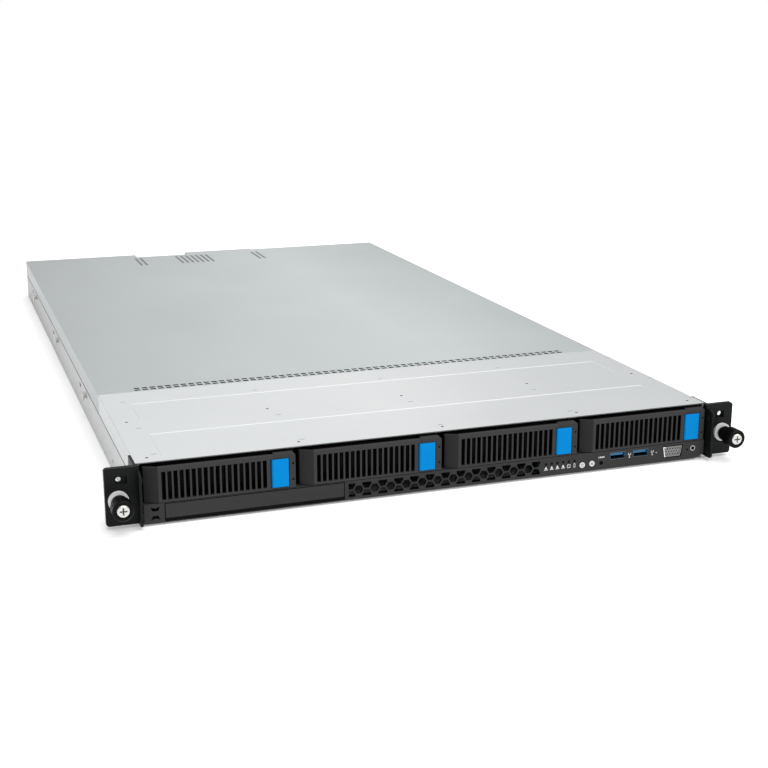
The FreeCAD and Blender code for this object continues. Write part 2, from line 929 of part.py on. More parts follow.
def ear(label, side):
    """Rack ear on the side -1 (left) or 1 (right): front plate, side plate and handle flange."""
    body = new_body(label)
    far, near = f"{side} * ear_half", f"{side} * handle_inner"
    pad(body, "XZ", "ear_front", "0", outline(
        (near, "ear_bottom"), (f"{far} - {side} * ear_corner", "ear_bottom"),
        (far, "ear_bottom + ear_corner"), (far, "ear_top - ear_corner"),
        (f"{far} - {side} * ear_corner", "ear_top"), (near, "ear_top")))
    low, high = ordered(side, "ear_side_in", "ear_side_out")
    pad(body, "YZ", low, high, rectangle("ear_front", "ear_bottom", "ear_side_reach", "ear_top"))
    low, high = ordered(side, "handle_inner", "handle_outer")
    pad(body, "YZ", low, high, outline(
        ("0", "ear_bottom"), ("0", "handle_top"), ("handle_front + handle_slope_depth", "handle_top"),
        ("handle_front", "handle_top - handle_slope_drop"),
        ("handle_front", "ear_bottom + handle_nose_drop"),
        ("handle_front + handle_nose_drop", "ear_bottom")))
    low, high = ordered(side, "(handle_inner - rivet_height)", "(handle_inner + tray_sheet)")
    rivet_y = "handle_front + rivet_setback"
    pad(body, "YZ", low, high, disc(rivet_y, "rivet_low_z", "rivet_radius"),
        disc(rivet_y, "rivet_high_z", "rivet_radius"))
    window = f"{side} * window_x"
    pocket(body, "XZ", "ear_front - tray_sheet", "ear_front + window_depth", rectangle(
        f"{window} - window_width / 2", "window_z - window_height / 2",
        f"{window} + window_width / 2", "window_z + window_height / 2"))
    pocket(body, "XZ", "ear_front", "tray_sheet",
           disc(f"{side} * (window_x + peep_shift)", "window_z", "peep_radius"),
           disc(f"{side} * screw_x", "screw_z", "ferrule_body_radius + running_gap"))
    low, high = ordered(side, "(ear_side_in - tray_sheet)", "(ear_side_out + tray_sheet)")
    pocket(body, "YZ", low, high, *[disc("ear_screw_y", z, "case_screw_hole")
                                    for z in ("ear_screw_low", "ear_screw_high")])
    return keep(body, label)


def ordered(side, near, far):
    """The lower and the higher of two levels given as distances from the middle plane."""
    return (near, far) if side > 0 else (f"-{far}", f"-{near}")


def ferrule(side):
    """Plain bush pressed into the ear, with a bright flange and a neck."""
    body = new_body("ferrule", f"{side} * screw_x", "0", "screw_z")
    turn(body, ("ferrule_bore", "ferrule_neck_front"), ("ferrule_neck_radius", "ferrule_neck_front"),
         ("ferrule_neck_radius", "ferrule_front"), ("ferrule_radius", "ferrule_front"),
         ("ferrule_radius", "ear_front"), ("ferrule_body_radius", "ear_front"),
         ("ferrule_body_radius", "ferrule_tail"), ("ferrule_bore", "ferrule_tail"))
    return body


def knob(label, side):
    """Grooved thumb knob with a cup for the screw head in front and a sleeve over the neck behind."""
    body = new_body(label, f"{side} * screw_x", "0", "screw_z")
    bore = "screw_radius + running_gap"
    turn(body, (bore, "knob_front + screw_cup_depth"), ("screw_cup_radius", "knob_front + screw_cup_depth"),
         ("screw_cup_radius", "knob_front"), ("knob_radius - knob_edge", "knob_front"),
         ("knob_radius", "knob_front + knob_edge"), ("knob_radius", "knob_shoulder"),
         ("knob_sleeve_radius", "knob_shoulder"), ("knob_sleeve_radius", "knob_rear"),
         ("knob_cup_radius", "knob_rear"), ("knob_cup_radius", "knob_rear - knob_cup_depth"),
         (bore, "knob_rear - knob_cup_depth"))
    groove = pocket(body, "XZ", "knob_front + knob_groove_margin", "knob_shoulder + knob_edge",
                    disc("knob_radius", "0", "knob_groove_radius"))
    around(body, groove, "knob_grooves")
    return keep(body, label)


def captive_screw(label, side):
    """Cross-head screw held in the knob, with a neck groove for its retaining ring."""
    body = new_body(label, f"{side} * screw_x", "0", "screw_z")
    head_front = "(knob_front + screw_cup_depth - screw_head)"
    turn(body, ("0", head_front), ("screw_head_radius - screw_head_edge", head_front),
         ("screw_head_radius", f"{head_front} + screw_head_edge"),
         ("screw_head_radius", "knob_front + screw_cup_depth"),
         ("screw_radius", "knob_front + screw_cup_depth"),
         ("screw_radius", "ring_front - running_gap"), ("groove_radius", "ring_front - running_gap"),
         ("groove_radius", "ring_rear + running_gap"), ("screw_radius", "ring_rear + running_gap"),
         ("screw_radius", "screw_reach"), ("0", "screw_reach"))
    start, end = f"{head_front} - cross_depth", f"{head_front} + cross_depth"
    pocket(body, "XZ", start, end, rectangle(
        "-cross_length / 2", "-cross_width / 2", "cross_length / 2", "cross_width / 2"))
    pocket(body, "XZ", start, end, rectangle(
        "-cross_width / 2", "-cross_length / 2", "cross_width / 2", "cross_length / 2"))
    return keep(body, label)


def retaining_ring(label, side):
    """Ring in the screw's groove, behind the ferrule, that keeps the screw captive."""
    body = new_body(label, f"{side} * screw_x", "0", "screw_z")
    turn(body, ("groove_radius + running_gap", "ring_front"), ("ring_radius", "ring_front"),
         ("ring_radius", "ring_rear"), ("groove_radius + running_gap", "ring_rear"))
    return keep(body, label)


# Fascia, its ports and its buttons ----------------------------------------------------------------

def front_fascia():
    """Moulded strip under the bays: vent section, blank window, grille, lamps, buttons and ports."""
    body = new_body("front_fascia")
    pad(body, "XZ", "face_y", "fascia_back", outline(
        ("-fascia_end", "fascia_bottom"), ("fascia_corner_x", "fascia_bottom"),
        ("fascia_end", "fascia_bottom + fascia_corner"), ("fascia_end", "fascia_top"),
        ("-fascia_end", "fascia_top")))
    pocket(body, "XZ", "fascia_wall_back", "fascia_back + fascia_skin", outline(
        ("fascia_skin - fascia_end", "fascia_bottom + fascia_skin"),
        ("fascia_corner_x", "fascia_bottom + fascia_skin"),
        ("fascia_end - fascia_skin", "fascia_bottom + fascia_corner + fascia_skin"),
        ("fascia_end - fascia_skin", "fascia_top - fascia_skin"),
        ("fascia_skin - fascia_end", "fascia_top - fascia_skin")))
    cut_front(body, rectangle("blank_left - blank_gap", "blank_low - blank_gap",
                              "blank_right + blank_gap", "blank_high + blank_gap"))
    fascia_grille(body)
    for level, sign in (("tie_low_z", 1), ("(tie_low_z + tie_pitch)", -1)):
        wide, narrow = f"{level} - {sign} * tie_height / 2", f"{level} + {sign} * tie_height / 2"
        cut_front(body, outline(
            ("tie_x - tie_width / 2", wide), ("tie_x", f"{wide} + {sign} * tie_notch"),
            ("tie_x + tie_width / 2", wide), ("tie_x + tie_crown / 2", narrow),
            ("tie_x - tie_crown / 2", narrow)))
    lamp = cut_front(body, disc("lamp_x", "lamp_z", "lamp_radius"))
    repeat(body, lamp, "X", "lamp_count", "lamp_pitch")
    cut_front(body, disc("power_x", "power_z", "button_radius + button_gap"),
              disc("ident_x", "ident_z", "button_radius + button_gap"),
              disc("reset_x", "reset_z", "reset_radius + button_gap"),
              disc("pinhole_x", "pinhole_z", "pinhole_radius"),
              disc("eyelet_x", "eyelet_z", "eyelet_radius + running_gap"),
              usb_outline("usb_one_x", "port_gap"), usb_outline("usb_two_x", "port_gap"),
              vga_outline("vga_port_gap"))
    return keep(body, "front_fascia")


def cut_front(body, *shapes):
    """Cut through the fascia's front wall."""
    return pocket(body, "XZ", "face_y - fascia_skin", "fascia_wall_back + fascia_skin", *shapes)


def fascia_grille(body):
    """Hexagonal holes: whole ones in every other column, and between them pairs cut off straight."""
    half, middle = "hole_radius / 2", "(fascia_bottom + fascia_top) / 2"
    whole, paired = "(grille_first + column_pitch)", "grille_first"
    hexagon = cut_front(body, outline(
        (f"{whole} - hole_radius", middle), (f"{whole} - {half}", f"{middle} - hole_half"),
        (f"{whole} + {half}", f"{middle} - hole_half"), (f"{whole} + hole_radius", middle),
        (f"{whole} + {half}", f"{middle} + hole_half"), (f"{whole} - {half}", f"{middle} + hole_half")))
    repeat(body, hexagon, "X", "grille_columns", "2 * column_pitch")
    for edge, sign in (("grille_high", 1), ("grille_low", -1)):
        level = f"({middle} + {sign} * cell_rise / 2)"
        inner = f"{level} - {sign} * hole_half"
        notch = cut_front(body, outline(
            (f"{paired} - hole_radius", level), (f"{paired} - {half}", inner),
            (f"{paired} + {half}", inner), (f"{paired} + hole_radius", level),
            (f"{paired} + hole_radius", edge), (f"{paired} - hole_radius", edge)))
        repeat(body, notch, "X", "grille_columns + 1", "2 * column_pitch")
    pad(body, "XZ", "face_y", "fascia_wall_back", rectangle(
        "blank_right + blank_gap", "fascia_bottom + fascia_skin", "grille_left", "fascia_top - fascia_skin"))


def slim_bay_blank():
    """Snap-in blank over the slim drive bay: a plate with a set-back lip and two legs."""
    body = new_body("slim_bay_blank")
    pad(body, "XZ", "face_y", "fascia_wall_back",
        rectangle("blank_left", "blank_low", "blank_right", "blank_high"))
    pocket(body, "XZ", "face_y - blank_lip", "face_y + blank_lip_drop",
           rectangle("blank_left - blank_lip", "blank_low - blank_lip",
                     "blank_right + blank_lip", "blank_low + blank_lip"))
    inner = "blank_lip"
    pad(body, "XZ", "fascia_wall_back", "fascia_wall_back + blank_leg",
        rectangle(f"blank_left + {inner}", f"blank_low + {inner}",
                  f"blank_left + {inner} + blank_leg_thickness", f"blank_high - {inner}"),
        rectangle(f"blank_right - {inner} - blank_leg_thickness", f"blank_low + {inner}",
                  f"blank_right - {inner}", f"blank_high - {inner}"))
    return keep(body, "slim_bay_blank")


def usb_outline(x, gap):
    return rectangle(f"{x} - usb_width / 2 - {gap}", f"usb_z - usb_height / 2 - {gap}",
                     f"{x} + usb_width / 2 + {gap}", f"usb_z + usb_height / 2 + {gap}")


def vga_outline(gap):
    """The port's tapered shell outline, widened by a gap."""
    low, high = f"vga_z - vga_height / 2 - {gap}", f"vga_z + vga_height / 2 + {gap}"
    wide, slim = f"(vga_width / 2 + {gap})", f"(vga_width / 2 + {gap} - vga_slant)"
    return outline((f"vga_x - {slim}", low), (f"vga_x + {slim}", low),
                   (f"vga_x + {wide}", high), (f"vga_x - {wide}", high))


def front_usb_ports():
    """Two folded steel shells, each with a back wall and a contact tongue."""
    ports = []
    start, end = "face_y + port_setback", "face_y + usb_depth"
    for number_name in ("one", "two"):
        x = f"usb_{number_name}_x"
        body = new_body("usb_port")
        pad(body, "XZ", start, end, usb_outline(x, "0"))
        pocket(body, "XZ", f"{start} - usb_skin", f"{end} - usb_skin", usb_outline(x, "-usb_skin"))
        pad(body, "XZ", f"{start} + usb_tongue_setback", f"{end} - usb_skin", rectangle(
            f"{x} - usb_tongue_width / 2", "usb_z + usb_tongue_rise - usb_tongue / 2",
            f"{x} + usb_tongue_width / 2", "usb_z + usb_tongue_rise + usb_tongue / 2"))
        ports.append(body)
    return group("front_usb_ports", ports)


def front_vga_port():
    """Fifteen-way video port: tapered shell, flange, insert with holes and a body behind."""
    body = new_body("front_vga_port")
    front, plate = "face_y + port_setback", "(fascia_wall_back + port_setback)"
    pad(body, "XZ", front, plate, vga_outline("0"))
    pocket(body, "XZ", f"{front} - vga_skin", f"{plate} + vga_skin", vga_outline("-vga_skin"))
    pad(body, "XZ", plate, f"{plate} + vga_plate", rectangle(
        "vga_x - vga_plate_width / 2", "vga_z - vga_plate_height / 2",
        "vga_x + vga_plate_width / 2", "vga_z + vga_plate_height / 2"))
    pad(body, "XZ", f"{front} + vga_insert_setback", plate, vga_outline("-vga_skin - running_gap"))
    pad(body, "XZ", f"{plate} + vga_plate", f"{plate} + vga_plate + vga_body_depth", rectangle(
        "vga_x - vga_width / 2", "io_board_top", "vga_x + vga_width / 2", "vga_z + vga_height / 2"))
    for line in (-1, 0, 1):
        shift = f"{line} * contact_row"
        first_x = f"vga_x - (contact_count / 2 - 1 / 4 - {line % 2} / 2) * contact_pitch"
        hole = pocket(body, "XZ", front, f"{front} + vga_insert_setback + contact_depth",
                      disc(first_x, f"vga_z + {shift}", "contact_radius"))
        repeat(body, hole, "X", "contact_count", "contact_pitch")
    return keep(body, "front_vga_port")


def push_button(label, x, z, radius, front):
    """A captive cap with a flange behind the fascia and a stem towards its switch."""
    body = new_body(label, x, "0", z)
    flange_front = "fascia_wall_back + button_flange_gap"
    flange_back = f"{flange_front} + button_flange"
    pad(body, "XZ", front, flange_back, disc("0", "0", radius))
    pad(body, "XZ", flange_front, flange_back, disc("0", "0", f"{radius} + button_flange_lip"))
    pad(body, "XZ", flange_back, f"{flange_back} + button_stem_length", disc("0", "0", "button_stem"))
    return keep(body, label)


def front_io_board():
    """Small board behind the fascia with switches, lamps and port bases."""
    board = new_body("front_io_board")
    top = "io_board_top"
    stem_end = "fascia_wall_back + button_flange_gap + button_flange + button_stem_length"
    switch_y = f"({stem_end} + button_travel + carrier_gap)"
    pad(board, "XY", "io_board_z", top, rectangle(
        "io_board_left", "fascia_back", "io_board_right", "io_board_rear"))
    switches = [rectangle(f"{x} - switch_size / 2", switch_y, f"{x} + switch_size / 2",
                          f"{switch_y} + switch_size") for x in ("power_x", "ident_x", "reset_x")]
    pad(board, "XY", f"{top} - running_gap", f"{top} + switch_height", *switches)
    bases = [rectangle(f"{x} - usb_width / 2", "fascia_back + port_gap", f"{x} + usb_width / 2",
                       "face_y + usb_depth") for x in ("usb_one_x", "usb_two_x")]
    pad(board, "XY", f"{top} - running_gap", "usb_z - usb_height / 2", *bases)
    pad(board, "XY", f"{top} - running_gap", f"{top} + lamp_block_height", rectangle(
        "lamp_x - lamp_pitch / 2", "fascia_back + port_gap",
        "lamp_x + lamp_pitch * (lamp_count - 0.5)", "fascia_back + switch_size"))
    return board


# Drive bays ---------------------------------------------------------------------------------------

def bay_x(bay):
    """Middle of a bay, counted from 1 at the left."""
    return f"({bay} - (bay_count + 1) / 2) * bay_pitch"


def drive_cage():
    """Shelf and five upright walls that guide the carriers."""
    cage = new_body("drive_cage")
    half = "cage_sheet / 2"
    walls = [rectangle(f"{x} - {half}", "tray_sheet", f"{x} + {half}", "cage_top")
             for x in (f"{half} - cage_outer", "-bay_pitch", "0", "bay_pitch", f"cage_outer - {half}")]
    pad(cage, "XZ", "cage_front", "cage_rear", *walls)
    pad(cage, "XZ", "cage_front", "cage_rear",
        rectangle("-cage_outer", "bay_floor - cage_sheet", "cage_outer", "bay_floor"))
    pocket(cage, "XZ", "cage_front - cage_sheet", "cage_tunnel_rear", rectangle(
        "2 * cage_sheet - cage_outer", "0", "cage_outer - 2 * cage_sheet", "bay_floor - cage_sheet"))
    window = pocket(cage, "YZ", "-cage_outer - cage_sheet", "cage_outer + cage_sheet", rectangle(
        "cage_window_front", "cage_window_low", "cage_window_front + cage_window_length",
        "cage_window_high"))
    repeat(cage, window, "Y", "cage_window_count", "cage_window_pitch")
    return keep(cage, "drive_cage")


def bevel_top(body):
    """Slope the top edge of the front face backwards."""
    pocket(body, "YZ", "-carrier_width", "carrier_width", outline(
        ("-bevel_depth", "bezel_high - bevel_drop"), ("0", "bezel_high - bevel_drop"),
        ("bevel_depth", "bezel_high"), ("bevel_depth", "bezel_high + bevel_drop"),
        ("-bevel_depth", "bezel_high + bevel_drop")))


def drive_carrier(bay):
    """Fixed head with the latch recess, vented inner wall, pivot lugs and two side rails."""
    label = f"carrier_{bay}"
    body = new_body(label, bay_x(bay), "face_y", "carrier_z")
    pad(body, "XY", "bezel_low", "bezel_high",
        rectangle("head_left", "0", "carrier_half", "head_depth"))
    bevel_top(body)
    pocket(body, "XZ", "-head_depth", "head_depth", outline(
        ("carrier_half - head_corner", "bezel_high + head_corner"),
        ("carrier_half - head_corner", "bezel_high"), ("carrier_half", "bezel_high - head_corner"),
        ("carrier_half + head_corner", "bezel_high - head_corner"),
        ("carrier_half + head_corner", "bezel_high + head_corner")))
    pocket(body, "XZ", "-head_corner", "latch_recess", rectangle(
        "head_left - head_corner", "latch_low - latch_end_gap",
        "latch_right + latch_side_gap", "latch_high + latch_end_gap"))
    pocket(body, "XZ", "-head_corner", "strip_lamp_depth",
           disc("strip_lamp_x", "strip_lamp_low", "strip_lamp_radius"),
           disc("strip_lamp_x", "strip_lamp_high", "strip_lamp_radius"))
    pad(body, "XZ", "inner_wall_front", "inner_wall_back",
        rectangle("-frame_half", "0", "frame_half", "inner_wall_top"))
    vent = pocket(body, "XZ", "inner_wall_front - inner_wall", "inner_wall_back + inner_wall", rectangle(
        "-vent_pitch * vent_count / 2", "vent_low", "vent_width - vent_pitch * vent_count / 2", "vent_high"))
    repeat(body, vent, "X", "vent_count", "vent_pitch")
    pad(body, "XY", "0", "rail_height", *[rectangle(
        f"{side} * frame_half - rail_thickness * ({side} + 1) / 2", "inner_wall_front",
        f"{side} * frame_half - rail_thickness * ({side} - 1) / 2", "inner_wall_front + rail_length")
        for side in (-1, 1)])
    for low, high in (("bezel_low", "lug_low_top"), ("lug_high_bottom", "inner_wall_top")):
        pad(body, "XY", low, high, outline(
            ("pivot_x - lug_radius", "lug_back + inner_wall / 2"),
            ("pivot_x - lug_radius", "pivot_depth - lug_radius + lug_chamfer"),
            ("pivot_x - lug_radius + lug_chamfer", "pivot_depth - lug_radius"),
            ("pivot_x + lug_radius - lug_chamfer", "pivot_depth - lug_radius"),
            ("pivot_x + lug_radius", "pivot_depth - lug_radius + lug_chamfer"),
            ("pivot_x + lug_radius", "lug_back + inner_wall / 2")))
    pocket(body, "XY", "0", "inner_wall_top + lug_height",
           disc("pivot_x", "pivot_depth", "pivot_radius + running_gap"))
    return keep(body, label)


def scoop(lift):
    """Points of the scooped face, a parabola from the hinged end to the flat face, lifted in depth."""
    steps = SIZES["scoop_steps"]
    return [(f"scoop_right * {step} / scoop_steps - carrier_half",
             f"scoop_depth * (1 - {step} / scoop_steps) ^ 2 + {lift}") for step in range(steps + 1)]


def carrier_lever(bay):
    """Slotted lever in front of the carrier, scooped at its hinged end, with moulded trunnions."""
    label = f"lever_{bay}"
    body = new_body(label, bay_x(bay), "face_y", "carrier_z")
    pad(body, "XY", "bezel_low", "bezel_high", outline(
        *scoop("0"), ("lever_right", "0"), ("lever_right", "lever_thickness"),
        *reversed(scoop("lever_thickness"))))
    bevel_top(body)
    slot = pocket(body, "XZ", "-lever_thickness", "2 * lever_thickness",
                  rectangle("slot_left", "slot_low", "slot_left + slot_width", "slot_high"))
    repeat(body, slot, "X", "slot_count", "slot_pitch")
    pocket(body, "XZ", "-lever_thickness", "2 * lever_thickness", rectangle(
        "latch_left - latch_side_gap", "latch_low - latch_end_gap",
        "lever_right + latch_side_gap", "latch_high + latch_end_gap"))
    inner_top = "bezel_high - bevel_drop"
    for low, high in (("bezel_low", "bezel_low + lever_return_thickness"),
                      (f"{inner_top} - lever_return_thickness", inner_top)):
        pad(body, "XY", low, high,
            rectangle("scoop_end", "lever_thickness / 2", "lever_return_end", "lever_return"))
    pad(body, "XY", "knuckle_low", "knuckle_high", outline(
        ("pivot_x - knuckle_radius", "scoop_depth"), ("pivot_x", "lever_thickness"),
        ("pivot_x + knuckle_radius", "knuckle_root"), ("pivot_x + knuckle_radius", "pivot_depth"),
        ("pivot_x - knuckle_radius", "pivot_depth")))
    pad(body, "XY", "knuckle_low", "knuckle_high",
        disc("pivot_x", "pivot_depth", "knuckle_radius"))
    pad(body, "XY", "bezel_low + pivot_reach", "inner_wall_top - pivot_reach",
        disc("pivot_x", "pivot_depth", "pivot_radius"))
    return keep(body, label)


def carrier_latch(bay):
    """Push latch beside the lever's free end, with one bevelled edge."""
    label = f"latch_{bay}"
    body = new_body(label, bay_x(bay), "face_y", "carrier_z")
    pad(body, "XY", "latch_low", "latch_high", outline(
        ("latch_left", "latch_bevel - latch_proud"), ("latch_left + latch_bevel", "-latch_proud"),
        ("latch_right", "-latch_proud"), ("latch_right", "latch_body"), ("latch_left", "latch_body")))
    return keep(body, label)


def disk_drive(bay):
    """3.5 inch drive: cast case with a raised lid and a recessed board underneath."""
    label = f"drive_{bay}"
    body = new_body(label, bay_x(bay), "face_y + drive_front", "carrier_z + drive_lift")
    half = "drive_width / 2"
    pad(body, "XY", "0", "drive_height - drive_lid_rise",
        rectangle(f"-{half}", "0", half, "drive_length"))
    inset = "drive_lid_inset"
    pad(body, "XY", "drive_height - drive_lid_rise", "drive_height", rectangle(
        f"{inset} - {half}", inset, f"{half} - {inset}", f"drive_length - {inset}"))
    inset = "drive_board_inset"
    pocket(body, "XY", "-drive_board_depth", "drive_board_depth", rectangle(
        f"{inset} - {half}", "drive_length / 2", f"{half} - {inset}", "drive_length + drive_board_depth"))
    return keep(body, label)


def backplane():
    """Upright board behind the cage with one socket and vents for every bay."""
    board = new_body("backplane")
    pad(board, "XZ", "backplane_front", "backplane_rear",
        rectangle("-backplane_half", "backplane_low", "backplane_half", "backplane_high"))
    sockets = [rectangle(f"{bay_x(bay)} - socket_width / 2", "socket_low",
                         f"{bay_x(bay)} + socket_width / 2", "socket_low + socket_height")
               for bay in BAYS]
    pad(board, "XZ", "socket_front_y", "backplane_front", *sockets)
    vent = pocket(board, "XZ", "backplane_front - board_thickness", "backplane_rear + board_thickness",
                  rectangle("-backplane_half + backplane_vent_width / 2", "backplane_vent_low",
                            "-backplane_half + 1.5 * backplane_vent_width", "backplane_vent_high"))
    repeat(board, vent, "X", "backplane_vents", "(2 * backplane_half) / backplane_vents")
    return board


# Fans ---------------------------------------------------------------------------------------------

def fan_x(fan):
    return f"({fan} - (fan_count + 1) / 2) * fan_pitch"


def fan_frame(fan):
    """Square duct with a round bore and a cup on two struts that carries the rotor's shaft."""
    x, z = fan_x(fan), "fan_axis_z"
    casing = block((f"{x} - fan_size / 2", "fan_front", "tray_sheet"),
                   (f"{x} + fan_size / 2", "fan_rear", "tray_sheet + fan_size"))
    casing = subtract(casing, [rod(x, "fan_front - fan_strut", z, "fan_bore", "fan_rear + fan_strut")])
    struts = [block((f"{x} - fan_bore - fan_strut / 2", "fan_rear - fan_strut", f"{z} - fan_strut / 2"),
                    (f"{x} + fan_bore + fan_strut / 2", "fan_rear", f"{z} + fan_strut / 2")),
              block((f"{x} - fan_strut / 2", "fan_rear - fan_strut", f"{z} - fan_bore - fan_strut / 4"),
                    (f"{x} + fan_strut / 2", "fan_rear", f"{z} + fan_bore + fan_strut / 4"))]
    cup = rod(x, "fan_cup_front", z, "fan_cup", "fan_rear")
    bearing = rod(x, "fan_cup_front - fan_strut", z, "shaft_radius + running_gap",
                  "rotor_rear + fan_end_gap + shaft_reach")
    return subtract(fuse([casing, cup] + struts), [bearing])


def fan_rotor(fan):
    """Hub with slanted blades and a shaft that runs in the frame's cup."""
    label = f"fan_rotor_{fan}"
    body = new_body(label, fan_x(fan), "0", "fan_axis_z")
    turn(body, ("0", "rotor_front"), ("fan_hub", "rotor_front"), ("fan_hub", "rotor_rear"),
         ("shaft_radius", "rotor_rear"), ("shaft_radius", "rotor_rear + shaft_reach"),
         ("0", "rotor_rear + shaft_reach"))
    start = "rotor_front + rotor_front_gap"
    blade = pad(body, "XY", "fan_hub / 2", "blade_tip", outline(
        ("-blade_sweep_x / 2", start), ("blade_thickness - blade_sweep_x / 2", start),
        ("blade_sweep_x / 2", f"{start} + blade_span_y"),
        ("blade_sweep_x / 2 - blade_thickness", f"{start} + blade_span_y")))
    around(body, blade, "blade_count")
    return keep(body, label)


# Board and what stands on it ----------------------------------------------------------------------

def motherboard():
    """Board on the tray's posts, narrowed between the power supplies and notched at the rear."""
    board = new_body("motherboard")
    rear = "rear_y - setback - board_rear_gap"
    notch = "rear_y - recess_depth - board_rear_gap"
    pad(board, "XY", "board_z", "board_top", outline(
        ("-board_half", "board_front"), ("board_half", "board_front"), ("board_half", "board_step_y"),
        ("board_rear_half", "board_step_y"), ("board_rear_half", rear),
        ("recess_right + board_recess_margin", rear), ("recess_right + board_recess_margin", notch),
        ("recess_left - board_recess_margin", notch), ("recess_left - board_recess_margin", rear),
        ("-board_rear_half", rear), ("-board_rear_half", "board_step_y"),
        ("-board_half", "board_step_y")))
    return keep(board, "motherboard")


def memory_x():
    """Centre lines of every memory module, bank by bank."""
    banks = [("dimm_outer_x", 1), ("dimm_inner_x", 1), ("-dimm_outer_x", -1)]
    return [f"({start} + {side} * {slot} * dimm_pitch)" for start, side in banks
            for slot in range(int(number("dimm_bank")))]


def memory_modules():
    """Upright memory modules with chips on both faces."""
    modules = []
    for x in memory_x():
        top = "dimm_seat + dimm_height"
        card = block((f"{x} - dimm_thickness / 2", "cpu_y - dimm_length / 2", "dimm_seat"),
                     (f"{x} + dimm_thickness / 2", "cpu_y + dimm_length / 2", top))
        chips = block((f"{x} - dimm_chip_depth / 2", "cpu_y - dimm_chip_length / 2",
                       f"{top} - dimm_thickness - dimm_chip_height"),
                      (f"{x} + dimm_chip_depth / 2", "cpu_y + dimm_chip_length / 2",
                       f"{top} - dimm_thickness"))
        modules.append(fuse([card, chips]))
    return group("memory_modules", modules)


def heat_sink(side):
    """Finned block seated on its processor socket."""
    body = new_body("heat_sink", f"{side} * cpu_x", "cpu_y", "socket_top")
    half_width, half_length = "sink_width / 2", "sink_length / 2"
    pad(body, "XY", "0", "sink_base", rectangle(
        f"-{half_width}", f"-{half_length}", half_width, half_length))
    fin = pad(body, "XY", "sink_base", "sink_height", rectangle(
        f"-{half_width}", f"-{half_length}", f"fin_thickness - {half_width}", half_length))
    repeat(body, fin, "X", "sink_fins", "(sink_width - fin_thickness) / (sink_fins - 1)")
    return body


# Chips and coils on the open part of the board: middle X, middle Y, width, length, height.
CHIPS = [(-62 + 14 * coil, 420, 9, 9, 7) for coil in range(10)]
CHIPS += [(0, 560, 32, 32, 5), (-70, 520, 22, 22, 2.5), (60, 640, 17, 17, 2), (-60, 660, 12, 14, 1.5),
          (100, 500, 20, 80, 8), (-110, 700, 10, 60, 11), (95, 720, 9, 90, 11), (-30, 720, 22, 80, 4),
          (186, 300, 9, 24, 12), (-160, 580, 40, 12, 10), (160, 580, 40, 12, 10), (30, 500, 20, 20, 3)]


def board_components():
    """Soldered parts: processor and memory sockets, chips, coils and power supply sockets."""
    parts = [block((f"{side} * cpu_x - cpu_socket_width / 2", "cpu_y - cpu_socket_length / 2", "board_top"),
                   (f"{side} * cpu_x + cpu_socket_width / 2", "cpu_y + cpu_socket_length / 2",
                    "socket_top")) for side in (-1, 1)]
    parts += [block((f"{x} - dimm_socket_width / 2", "cpu_y - dimm_socket_length / 2", "board_top"),
                    (f"{x} + dimm_socket_width / 2", "cpu_y + dimm_socket_length / 2", "dimm_seat"))
              for x in memory_x()]
    for x, y, width, length, height in CHIPS:
        parts.append(block((f"{x} - {width} / 2", f"{y} - {length} / 2", "board_top"),
                           (f"{x} + {width} / 2", f"{y} + {length} / 2", f"board_top + {height}")))
    return group("board_components", parts + [power_socket(-1), power_socket(1)])


def psu_rear(side):
    """Rear face of a power supply; the right one follows the wall's setback."""
    return "(rear_y + psu_proud)" if side < 0 else "(rear_y - setback + psu_proud)"


def power_socket(side):
    """Card-edge socket that takes the power supply's tongue, on a foot on the board."""
    x = f"{side} * psu_x"
    rear = f"({psu_rear(side)} - psu_length - edge_socket_gap)"
    half = "(edge_width / 2 + edge_socket_wall)"
    shell = block((f"{x} - {half}", f"{rear} - edge_socket_length", "board_top"),
                  (f"{x} + {half}", rear, "edge_z + board_thickness + edge_socket_wall"))
    slot = block((f"{x} - edge_width / 2 - edge_slot_gap", f"{rear} - edge_length + edge_slot_gap",
                  "edge_z - edge_slot_gap"),
                 (f"{x} + edge_width / 2 + edge_slot_gap", f"{rear} + edge_slot_gap",
                  "edge_z + board_thickness + edge_slot_gap"))
    return subtract(shell, [slot])


def air_duct():
    """Clear air from the fans over the heat sinks: a roof with two walls."""
    body = new_body("air_duct")
    pad(body, "XZ", "duct_front", "duct_rear", outline(
        ("-duct_half", "board_top + duct_foot_gap"), ("-duct_half", "duct_top"), ("duct_half", "duct_top"),
        ("duct_half", "board_top + duct_foot_gap"),
        ("duct_half - duct_sheet", "board_top + duct_foot_gap"),
        ("duct_half - duct_sheet", "duct_top - duct_sheet"),
        ("duct_sheet - duct_half", "duct_top - duct_sheet"),
        ("duct_sheet - duct_half", "board_top + duct_foot_gap")))
    return keep(body, "air_duct")


# Power supplies -----------------------------------------------------------------------------------

